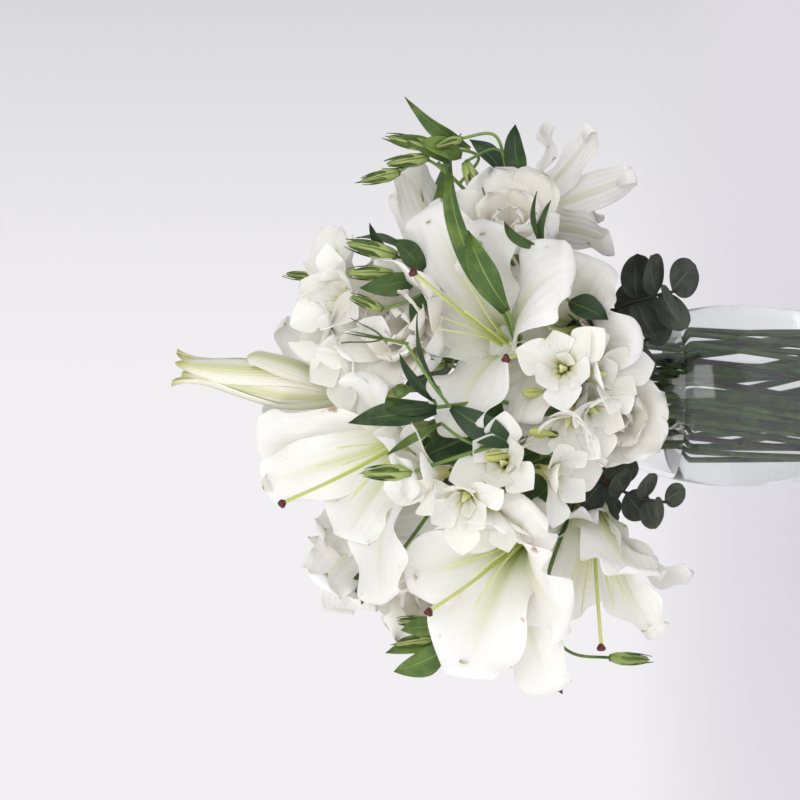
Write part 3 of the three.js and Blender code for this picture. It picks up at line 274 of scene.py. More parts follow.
class Shade:
    """A socket of a material's nodes. The operators write shader sums as Python sums."""

    def __init__(self, tree, socket=None):
        self.tree = tree
        self.socket = socket

    def node(self, kind, settings=None, values=None, output=0):
        """Any node: its settings come first, then a value or a link for each named socket."""
        made = self.tree.nodes.new("ShaderNode" + kind)
        for name, value in (settings or {}).items():
            setattr(made, name, value)
        for name, value in (values or {}).items():
            if isinstance(value, Shade):
                self.tree.links.new(value.socket, made.inputs[name])
            else:
                made.inputs[name].default_value = value
        return Shade(self.tree, made.outputs[output])

    def math(self, operation, *values):
        return self.node("Math", {"operation": operation}, dict(enumerate(values)))

    def __add__(self, other):
        return self.math("ADD", self, other)

    def __radd__(self, other):
        return self.math("ADD", other, self)

    def __sub__(self, other):
        return self.math("SUBTRACT", self, other)

    def __rsub__(self, other):
        return self.math("SUBTRACT", other, self)

    def __mul__(self, other):
        return self.math("MULTIPLY", self, other)

    def __rmul__(self, other):
        return self.math("MULTIPLY", other, self)

    def __abs__(self):
        return self.math("ABSOLUTE", self)

    def sine(self):
        return self.math("SINE", self)

    def rise(self, low, high):
        """Nought below the low value, one above the high one and smooth between them."""
        limits = {"Value": self, "From Min": low, "From Max": high}
        return self.node("MapRange", {"interpolation_type": "SMOOTHSTEP"}, limits)

    def mix(self, low, high):
        """A colour that goes from low to high as this share goes from nought to one."""
        return self.node("Mix", {"data_type": "RGBA"}, {0: self, 6: low, 7: high}, output=2)


def places(material):
    """A material's means of making nodes, and its parts' places across and along, tint and Object place."""
    make = Shade(material.node_tree)
    across = make.node("SeparateXYZ", values={0: make.node("UVMap", {"uv_map": "along"})})
    along = Shade(make.tree, across.socket.node.outputs[1])
    tint = make.node("Attribute", {"attribute_name": "tint"}, output=2)
    at = make.node("TexCoord", output=3)
    return make, across, along, tint, at


def height_of(make, at):
    """How high a place stands above the floor, in metres."""
    return Shade(make.tree, make.node("SeparateXYZ", values={0: at}).socket.node.outputs[2])


def noise(make, at, scale, detail=3.0, rough=0.5):
    """Cloudy noise between nought and one."""
    return make.node("TexNoise", values={"Vector": at, "Scale": scale, "Detail": detail, "Roughness": rough})


def dress(material, shader, shade, bumps=None, height=0.0005, through=0.0, roughness=None):
    """Puts a colour, and bumps if any, on a finish. Part of the light goes through a thin petal or leaf."""
    make = Shade(material.node_tree)
    tree = material.node_tree
    tree.links.new(shade.socket, shader.inputs["Base Color"])
    if roughness:
        tree.links.new(roughness.socket, shader.inputs["Roughness"])
    values = {"Color": shade}
    if bumps:
        bump = make.node("Bump", values={"Height": bumps, "Distance": height, "Strength": 1.0})
        tree.links.new(bump.socket, shader.inputs["Normal"])
        values["Normal"] = bump
    if through:
        behind = make.node("BsdfTranslucent", values=values)
        both = make.node("MixShader", values={0: through, 1: Shade(tree, shader.outputs[0]), 2: behind})
        tree.links.new(both.socket, tree.nodes["Material Output"].inputs["Surface"])


def through_neck(ring, towards):
    """A stem's points in the vase: it leans in a spiral from the floor to a free place in the neck that
    faces its flower, and all stems of a ring lean alike."""
    radius, count, spread = NECK_RINGS[ring]
    wanted = math.atan2(towards[1], towards[0]) / TURN * count
    free = [slot for slot in range(count) if (ring, slot) not in taken]
    slot = min(free, key=lambda i: abs((i - wanted + 10.5 * count) % count - count / 2))
    taken.add((ring, slot))
    angle = TURN * slot / count
    low = (radius * spread * math.cos(angle - STEM_TWIST), radius * spread * math.sin(angle - STEM_TWIST))
    high = (radius * math.cos(angle), radius * math.sin(angle))
    return [(*low, VASE_FLOOR + 4), (*high, VASE_HEIGHT - 8), (*high, VASE_HEIGHT + 10)]


def tube(points, radius, steps=8, sides=10, end=1.0):
    """A round stem: a circle carried square to the smooth line through the points. Its radius goes evenly
    from the first value to that times end."""
    line = smooth_line(points, steps)
    tangent = unit(np.gradient(line, axis=0))
    side = [square_to(tangent[0])]
    for way in tangent[1:]:
        side.append(unit(side[-1] - way * (side[-1] @ way)))
    side = np.array(side)[:, None]
    other = np.cross(tangent[:, None], side)
    angle = (TURN * np.arange(sides) / sides)[None, :, None]
    share = np.linspace(0, 1, len(line))
    reach = (radius * (1 + (end - 1) * share))[:, None, None]
    rings = line[:, None] + reach * (np.cos(angle) * side - np.sin(angle) * other)
    round_it = np.broadcast_to(np.arange(sides) / sides, (len(line), sides))
    return rings_part(rings, np.stack([round_it, np.broadcast_to(share[:, None], round_it.shape)], axis=-1))


def nearest(lines, place):
    """The point of some dense lines that lies nearest to a place."""
    spots = np.concatenate(lines)
    return spots[np.argmin(np.linalg.norm(spots - np.asarray(place, float), axis=1))]


def bezier(control, stations):
    """Points and unit tangents of the cubic Bezier curve of four points."""
    a, b, c, d = [np.asarray(p, float) for p in control]
    s = stations[:, None]
    points = (1 - s)**3 * a + 3 * (1 - s)**2 * s * b + 3 * (1 - s) * s**2 * c + s**3 * d
    tangents = 3 * (1 - s)**2 * (b - a) + 6 * (1 - s) * s * (c - b) + 3 * s**2 * (d - c)
    return points, unit(tangents)


def blade(control, lateral, half, bend, thickness, rows, across, twist=0.0):
    """A petal or leaf as a closed thin shell about a Bezier middle line. A place u across it, from -1 to 1,
    lies half(s) times u along its side, and bend(s, u) towards its inner face. Square to that sheet, the two
    faces lie a thickness apart at the middle and meet at the edges. Its side turns by twist up to the tip."""
    s = np.linspace(0, 1, rows)
    line, tangent = bezier(control, s)
    side = unit(lateral - tangent * (tangent @ lateral)[:, None])
    inner = np.cross(tangent, side)
    turn = (twist * s)[:, None]
    side, inner = np.cos(turn) * side + np.sin(turn) * inner, np.cos(turn) * inner - np.sin(turn) * side
    u = np.sin(np.linspace(-0.5, 0.5, across + 1) * math.pi)[None, :]
    s = s[:, None]
    middle = line[:, None] + side[:, None] * (half(s) * u)[..., None] + inner[:, None] * bend(s, u)[..., None]
    normal = unit(np.cross(np.gradient(middle, axis=0), np.gradient(middle, axis=1)))
    skin = normal * (thickness / 2 * np.sqrt(1 - np.minimum(u * u, 1)))[..., None]
    rings = np.concatenate([middle + skin, (middle - skin)[:, -2:0:-1]], axis=1)
    u = np.concatenate([u, u[:, -2:0:-1]], axis=1)
    return rings_part(rings, np.stack(np.broadcast_arrays((u + 1) / 2, s), axis=-1))


def leaf(start, end, width, face=(0, -1, 0.4), arch=0.12, rows=26, across=10):
    """A pointed leaf from one point to another. Its middle rises towards its face by arch times its length,
    and it is folded along the mid rib, with softly waved edges."""
    start, end = np.array(start, float), np.array(end, float)
    span = end - start
    up = unit(np.array(face, float)) * arch * np.linalg.norm(span)
    control = (start, start + 0.33 * span + up, start + 0.7 * span + up, end)
    phase, waves = random.uniform(0, TURN, 2)
    twist = random.uniform(-0.5, 0.5)

    def half(s):
        rise = np.sin(np.minimum(s / 0.45, 1) * math.pi / 2)
        fall = 1 - np.maximum((s - 0.45) / 0.55, 0) ** 1.7
        return np.maximum(width / 2 * (0.2 + 0.8 * rise) * fall, 0.25)

    def bend(s, u):
        wave = 0.14 * np.sin(9 * s + np.where(u > 0, phase, waves)) * u * u
        rib = -0.5 * np.exp(-(u / 0.12) ** 2) * (1 - s)
        return half(s) * (0.42 * np.sqrt(u * u + 0.02) + wave) + rib

    lateral = unit(np.cross(up, span))
    return blade(control, lateral, half, bend, 0.7, rows, across, twist)


def green(name, deep, bright, pale, rough=0.42, sheen=0.0):
    """Leaf green: cloudy between two greens, with a paler mid rib and fine veins along the blade."""
    material, shader = finish(name, deep, rough, Coat_Weight=sheen, Coat_Roughness=0.35)
    make, across, along, tint, at = places(material)
    cloud = noise(make, at, 60.0)
    body = (cloud.rise(0.35, 0.7) * 0.6 + tint * 0.5).rise(0.1, 1.0).mix(colour(deep), colour(bright))
    off_rib = abs(across - 0.5)
    rib = (1 - off_rib.rise(0.0, 0.045)) * (1 - along.rise(0.6, 1.0)) * 0.75
    shade = rib.mix(body, colour(pale))
    veins = (across * 110.0).sine() * 0.5 + cloud * 0.6
    dress(material, shader, shade, veins, 0.00022, 0.14)
    return material


stem_skin, stem_shader = finish("stem_skin", "5c7a34", 0.42)
make, _, _, tint, at = places(stem_skin)
cloud = noise(make, at, 90.0)
fresh = (cloud * 0.6 + tint * 0.5).rise(0.15, 0.95).mix(colour("435f27"), colour("7d9a48"))
# Below the rim every stem is painted a darker green. This is painted shade of the dense bouquet in the vase
# neck, not a colour of the stems.
painted_shade_stem = cloud.rise(0.3, 0.7).mix(colour("27400b"), colour("567a22"))
shade = height_of(make, at).rise(0.225, 0.275).mix(painted_shade_stem, fresh)
dress(stem_skin, stem_shader, shade, noise(make, at, 500.0), 0.0002)
lily_leaf = green("lily_leaf", "48672a", "7f9a3c", "a3b566")
for number, row in enumerate(LILY_STEMS):
    fork = np.array(row["fork"], float)
    route = [*through_neck("lily", row["towards"]), row["fork"]]
    parts = [tube(route, 3.8, 14, 14, 0.85)]
    lines = [smooth_line(route, 14)]
    heads = [(LILIES[i]["base"], LILIES[i]["axis"], RECEPTACLE) for i in row["carries"]]
    if "bud" in row:
        bud = LILY_BUDS[row["bud"]]
        heads.append((np.array(bud["base"], float), unit(np.array(bud["axis"], float)), 0))
    for centre, axis, gap in heads:
        lead = centre - axis * (gap + 16)
        start = fork - 0.04 * (lead - fork)
        middle = (start + lead) / 2 + (0, 0, 5)
        stalk = [start, middle, lead, centre - axis * (gap - 4)]
        lines.append(smooth_line(stalk, 10))
        parts.append(tube(stalk, 2.5, 10, 12, 0.9))
        if gap:
            knob = [(0, -gap - 3), (2.6, -gap - 2), (4.4, -gap + 2), (5.4, -1), (5.8, 5), (4.6, 9), (0, 9)]
            parts.append(turned(knob, centre, axis, 20, 3, 0.08))
    leaves = [leaf(*item) for item in LILY_LEAVES[number]]
    for start, end, *_ in LILY_LEAVES[number]:
        way = unit(np.subtract(end, start).astype(float))
        parts.append(tube([nearest(lines, start), np.array(start) + 3 * way], 1.3, 6, 8))
    piece(f"lily_stem_{number + 1}_body", parts, stem_skin, "stem", f"lily_stem_{number + 1}")
    if leaves:
        piece(f"lily_stem_{number + 1}_leaves", leaves, lily_leaf, "leaf")

# ---- lilies ------------------------------------------------------------------------------------------
# Twelve open white lilies. Each has three broad and three narrower tepals that leave the green throat as a
# funnel, open wide and roll back at their ruffled edges and tips.
THROAT = 4.8
BROAD_TEPAL = 48
NARROW_TEPAL = 38


def even_tepals(axis, roll, angle, length):
    """The tepals of an evenly open flower, broad and narrow ones in turn."""
    side = square_to(axis)
    other = np.cross(axis, side)
    found = []
    for k in range(6):
        turn = math.radians(roll + 60 * k)
        out = math.cos(turn) * side + math.sin(turn) * other
        tip = axis * length * math.cos(math.radians(angle)) + out * length * math.sin(math.radians(angle))
        found.append((*tip, (BROAD_TEPAL, NARROW_TEPAL)[k % 2], 0.28, 0))
    return found


def tepal(lily, row):
    """One lily tepal: it leaves the throat along the flower's axis, opens outwards and curls back. Across it
    there is a groove between two soft ridges, and its edges are cupped low down, rolled back and ruffled
    further up."""
    x, y, z, width, bow, reach = row
    chord = np.array([x, y, z], float)
    axis = lily["axis"]
    out = unit(chord - axis * (chord @ axis))
    length = np.linalg.norm(chord)
    root = lily["base"] + THROAT * out
    tip = lily["base"] + chord
    control = (root, root + axis * 0.38 * length, tip + axis * bow * length + out * reach * length, tip)
    left, right, swell = random.uniform(0, TURN, 3)
    waves = random.uniform(2.6, 4.4)
    curl = random.uniform(0.25, 0.55)
    depth = random.uniform(0.15, 0.27)
    narrow = lily["base"][0] > 60
    width = (0.84 if narrow else 1.2 if lily["base"][1] < -20 else 1.0) * width
    twist = random.uniform(-0.28, 0.28)
    hook = 0.34 if narrow else 0.14 if "tepals" in lily else 0.05

    def half(s):
        low = 0.26 + 0.74 * np.sin(math.pi * s)
        full = np.where(s < 0.5, low, 1 - np.abs(2 * s - 1) ** (1.35 if narrow else 1.75))
        return np.maximum(width / 2 * full * (1 + 0.035 * np.sin(14 * s + swell)), 0.5)

    def bend(s, u):
        size = np.abs(u)
        cup = 0.36 * (1 - s) * u * u - curl * s**2 * size**2.4
        ruffle = depth * np.sin(TURN * waves * s + np.where(u > 0, left, right)) * size**3
        ruffle = ruffle + 0.16 * depth * np.sin(TURN * 1.8 * waves * s + left + 2 * u) * size**4
        rise = np.minimum(np.sin(math.pi * np.minimum(s * 1.05, 1)) * 1.6, 1)
        tip = -hook * length * np.clip((s - 0.74) / 0.26, 0, 1) ** 2.2
        groove = -1.3 * np.exp(-(u / 0.085) ** 2) * (1 - s) ** 0.6
        groove = groove + 0.7 * np.exp(-((size - 0.2) / 0.12) ** 2) * (1 - s)
        return half(s) * (cup + ruffle * rise) + groove + tip

    return blade(control, np.cross(axis, out), half, bend, 0.9, 44, 22, twist)


lily_petal, petal_shader = finish("lily_petal", "f6f4ee", 0.5, Sheen_Weight=0.08)
make, across, along, tint, at = places(lily_petal)
off_rib = abs(across - 0.5) * 2
cloud = noise(make, at, 26.0)
white = (cloud.rise(0.3, 0.75) * 0.55 + tint * 0.3).mix(colour("fdfdfc"), colour("f8f6f1"))
ribbed = ((1 - off_rib.rise(0.02, 0.3)) * (1 - along.rise(0.15, 0.75)) * 0.6).mix(white, colour("e3e8b4"))
throat = ((1 - along.rise(0.04, 0.3)) * 0.9).mix(ribbed, colour("c6d178"))
rim = off_rib.rise(0.6, 0.97) + along.rise(0.9, 1.0)
bruise = noise(make, at, 85.0, 4.0, 0.6).rise(0.63, 0.72) * rim * 0.75
withered = (along.rise(0.95, 1.0) * 0.75).mix(throat, colour("a39a52"))
shade = bruise.mix(withered, colour("b98a52"))
veins = (across * 46.0 + cloud * 2.0).sine() + (across * 150.0).sine() * 0.22
veins = veins * (1 - along.rise(0.6, 0.92)) + noise(make, at, 260.0) * 0.5
dress(lily_petal, petal_shader, shade, veins, 0.00013, 0.42)
for number, lily in enumerate(LILIES):
    rows = lily["tepals"] if "tepals" in lily else even_tepals(lily["axis"], *lily["spread"])
    piece(f"lily_{number + 1}_tepals", [tepal(lily, row) for row in rows], lily_petal, "lily_petal",
          f"lily_{number + 1}")

# ---- pistils and filaments ---------------------------------------------------------------------------
# From each lily's throat stand a thick green style with a dark three-lobed stigma and, round it, six thin
# pale filaments, whose pollen sacs were pinched off.
style_green, style_shader = finish("style_green", "bcc86a", 0.35, Coat_Weight=0.15)
make, _, along, _, at = places(style_green)
shade = along.rise(0.0, 0.9).mix(colour("a8bb4c"), colour("ccd47e"))
dress(style_green, style_shader, shade, noise(make, at, 700.0), 0.0002)
filament_pale, thread_shader = finish("filament_pale", "d6de8e", 0.4)
make, _, along, _, at = places(filament_pale)
shade = along.rise(0.1, 1.0).mix(colour("cdd77c"), colour("e2e7ae"))
dress(filament_pale, thread_shader, shade, noise(make, at, 700.0), 0.0001)
stigma_maroon, stigma_shader = finish("stigma_maroon", "4a1016", 0.5)
make, _, _, _, at = places(stigma_maroon)
shade = noise(make, at, 900.0).rise(0.3, 0.7).mix(colour("33090e"), colour("6d1f22"))
dress(stigma_maroon, stigma_shader, shade, noise(make, at, 1500.0), 0.0004)
for number, lily in enumerate(LILIES):
    axis, base = lily["axis"], lily["base"]
    length = np.linalg.norm(np.array(lily["stigma"]) - base)
    side = square_to(axis)
    other = np.cross(axis, side)
    sag = 0.025 * length * side
    middle = base + axis * 0.55 * length + sag
    style = tube([base + axis * 2, middle, base + axis * (length - 1)], 1.15, 16, 12, 1.1)
    ovary = turned([(0, 1), (2.6, 3), (3, 12), (2.4, 20), (1.3, 25), (0, 26)], base, axis, 18, 3, 0.1)
    piece(f"lily_{number + 1}_style", [style, ovary], style_green, "pistil", f"lily_{number + 1}_pistil")
    knob = [(0, -3), (1.4, -2.4), (2.8, 0), (2.6, 1.6), (1.3, 2.4), (0, 2.2)]
    cap = turned(knob, base + axis * length, axis, 24, 3, 0.24)
    piece(f"lily_{number + 1}_stigma", [cap], stigma_maroon, "pistil")
    threads = []
    for k in range(6):
        turn = TURN * (k + 0.5) / 6 + random.uniform(-0.15, 0.15)
        out = math.cos(turn) * side + math.sin(turn) * other
        tall = length * random.uniform(0.58, 0.72)
        wide = random.uniform(15, 22)
        points = [base + axis * 3 + out * 2.4, base + axis * 0.45 * tall + out * 0.3 * wide,
                  base + axis * tall + out * wide]
        threads.append(tube(points, 1.15, 10, 8, 0.45))
    piece(f"lily_{number + 1}_filaments", threads, filament_pale, "pistil")

# ---- lily buds ---------------------------------------------------------------------------------------
# The top bud is half open: six long cream tepals with green mid ribs are still wrapped round each other
# and their tips roll out. The bud low on the left is closed and greener.
BUD_TALL = 129
BUD_WIDE = 17


def wrapped(base, axis, length, radius, width, turn, flare, stop):
    """A tepal wrapped round a bud: a place u across it stands at the angle turn + u * width(s) round the
    axis, at the bud's radius. Past stop its tip leaves the bud and rolls outwards by flare."""
    s = np.linspace(0, 1, 40)[:, None]
    front = np.sin(np.linspace(-0.5, 0.5, 17) * math.pi)
    u = np.concatenate([front, front[-2:0:-1]])[None, :]
    face = np.concatenate([np.ones(16), -np.ones(16)])[None, :]
    swell = np.sin(math.pi * np.minimum(s / 0.42, 1) / 2) ** 0.8
    taper = 1 - 0.8 * np.clip((s - 0.36) / 0.64, 0, 1) ** 1.25
    free = np.clip((s - stop) / (1 - stop), 0, 1)
    reach = radius * (0.22 + 0.78 * swell) * taper + flare * free**2
    narrow = width * np.minimum(1, ((1 - s) / 0.3 + 0.02)) ** 0.7
    spread = np.where(reach > 0, np.minimum(radius * 0.6 / np.maximum(reach, 1), 1.2), 1)
    narrow = narrow * (1 + 0.5 * s) * spread
    angle = turn + u * narrow + 0.5 * s
    reach = reach - face * 0.45 * np.sqrt(1 - u * u) + 0.9 * np.exp(-(u / 0.14) ** 2) * (1 - free)
    reach = reach - 0.25 * radius * free * u * u
    tall = length * (s - 0.04 * free**3)
    e1 = square_to(axis)
    e2 = np.cross(axis, e1)
    rings = base + tall[..., None] * axis
    rings = rings + reach[..., None] * (np.cos(angle)[..., None] * e1 - np.sin(angle)[..., None] * e2)
    return rings_part(rings, np.stack(np.broadcast_arrays((u + 1) / 2, s), axis=-1))


def bud_skin(name, body, rib, tip):
    """Bud skin: a pale body with a green band along each mid rib and at the root."""
    material, shader = finish(name, body, 0.42)
    make, across, along, tint, at = places(material)
    off_rib = abs(across - 0.5) * 2
    band = (1 - off_rib.rise(0.08, 0.55)) * 0.75
    shade = band.mix(colour(body), colour(rib))
    root = ((1 - along.rise(0.0, 0.28)) * 0.6).mix(shade, colour(rib))
    end = along.rise(0.86, 1.0).mix(root, colour(tip))
    veins = (across * 70.0).sine() + noise(make, at, 300.0)
    dress(material, shader, end, veins, 0.0001, 0.25)
    return material


cream_bud = bud_skin("cream_bud", "f8f7ea", "dce0a2", "d3d68c")
green_bud = bud_skin("green_bud", "d5dca4", "8fa653", "a9b968")
top_bud, low_bud = LILY_BUDS
axis = unit(np.array(top_bud["axis"]))
base = np.array(top_bud["base"], float)
parts = []
for k in range(6):
    outer = k % 2 == 0
    parts.append(wrapped(base, axis, BUD_TALL - 6 * (not outer), BUD_WIDE - 1.2 * (not outer), 0.82,
                         TURN * k / 6 + 0.4, 12 if outer else 5, 0.72))
right = np.array([0.8, -0.6, 0.0])
peeled = [base + tall * axis + wide * right for tall, wide in [(4, 0), (40, 29), (88, 23), (68, 13)]]


def peeled_half(s):
    """Half the width of the tepal that has peeled off the bud."""
    return np.maximum(15 * (0.3 + 0.7 * np.sin(math.pi * s**0.9)) * (1 - s**6), 0.5)


def peeled_bend(s, u):
    """It is cupped across, with softly waved edges."""
    return 4.0 * u * u + 1.2 * np.sin(12 * s + 3 * u) * u * u


parts.append(blade(peeled, np.cross(axis, right), peeled_half, peeled_bend, 0.9, 40, 18, 0.3))
piece("lily_bud_1_tepals", parts, cream_bud, "bud", "lily_bud_1")
axis = unit(np.array(low_bud["axis"]))
base = np.array(low_bud["base"], float)
closed = [(0, 0), (3.2, 1), (4.8, 5), (7.2, 14), (8.8, 26), (8.2, 38), (6.2, 48), (3.6, 57), (1.4, 61),
          (0, 62)]
piece("lily_bud_2_tepals", [turned(smooth_line(closed, 4), base, axis, 36, 3, 0.08)], green_bud, "bud",
      "lily_bud_2")

# ---- eucalyptus --------------------------------------------------------------------------------------
# Brown twigs hang over the rim with stalkless round leaves in pairs, dark grey green with a faint bloom.
# A twig has its path over the rim, the sizes of its first and last leaf, and its pairs of leaves.
EUCALYPTUS = [
    dict(path=[(-36, -46, 248), (-54, -72, 246), (-68, -92, 222), (-72, -100, 200)], first=22, last=14,
         pairs=4),
    dict(path=[(38, -48, 248), (54, -80, 242), (66, -98, 214), (70, -102, 196)], first=27, last=22,
         pairs=4),
    dict(path=[(20, -56, 250), (30, -78, 242), (38, -92, 212)], first=24, last=20, pairs=4),
    dict(path=[(-44, 42, 250), (-76, 74, 248), (-96, 96, 214)], first=24, last=18, pairs=4),
]


def round_leaf(root, out, normal, size):
    """A round leaf: its half width follows a circle's, and it is cupped a little."""
    def half(s):
        return np.maximum(size / 2 * np.sqrt(np.maximum(1 - (2 * s - 1) ** 2, 0)), 0.4)

    def bend(s, u):
        return half(s) * (0.12 * u * u) - 0.25 * np.exp(-(u / 0.1) ** 2)

    lift = normal * size * 0.1
    control = (root, root + out * size * 0.33 - lift, root + out * size * 0.67 - lift, root + out * size)
    return blade(control, unit(np.cross(normal, out)), half, bend, 0.6, 18, 10)


twig_brown, twig_shader = finish("twig_brown", "8a5a3c", 0.5)
make, _, _, _, at = places(twig_brown)
bark = noise(make, at, 200.0).rise(0.3, 0.7).mix(colour("4f3728"), colour("8a5f42"))
# Below the rim the bark is painted near black. This is painted shade inside the vase neck.
shade = height_of(make, at).rise(0.225, 0.26).mix(colour("1f1712"), bark)
dress(twig_brown, twig_shader, shade, noise(make, at, 900.0), 0.0003)
round_green, round_shader = finish("round_green", "3f4a42", 0.55)
make, across, along, tint, at = places(round_green)
cloud = noise(make, at, 120.0)
body = (cloud.rise(0.3, 0.7) * 0.6 + tint * 0.5).mix(colour("21261d"), colour("494e40"))
rib = (1 - abs(across - 0.5).rise(0.0, 0.05)) * (1 - along.rise(0.5, 1.0)) * 0.6
dress(round_green, round_shader, rib.mix(body, colour("626753")), cloud, 0.0004, 0.06)
for number, row in enumerate(EUCALYPTUS):
    route = [*through_neck("outer", row["path"][0]), *row["path"]]
    twigs = [tube(route, 1.7, 10, 10, 0.55)]
    curve = smooth_line(row["path"], 40)
    away = np.array([0, 0.5 * np.sign(row["path"][0][1]), 0.1])
    leaves = []
    for k in range(row["pairs"] + 1):
        s = 0.2 + 0.8 * (k + 0.2) / (row["pairs"] + 0.6)
        size = 1.25 * (row["first"] + (row["last"] - row["first"]) * k / row["pairs"])
        here = int(s * (len(curve) - 1))
        tangent = unit(curve[min(here + 1, len(curve) - 1)] - curve[here - 1])
        side = square_to(tangent)
        turn = k * math.pi / 2 + 0.5
        side = math.cos(turn) * side + math.sin(turn) * np.cross(tangent, side)
        for way in (1, -1):
            normal = unit(tangent * 0.75 - side * 0.35 * way + away)
            out = unit(side * way - normal * (side @ normal) * way)
            leaves.append(round_leaf(curve[here] + out * 1.2, out, normal, size))
    piece(f"eucalyptus_{number + 1}_leaves", leaves, round_green, "eucalyptus_leaf",
          f"eucalyptus_{number + 1}")
    piece(f"eucalyptus_{number + 1}_twig", twigs, twig_brown, "stem")

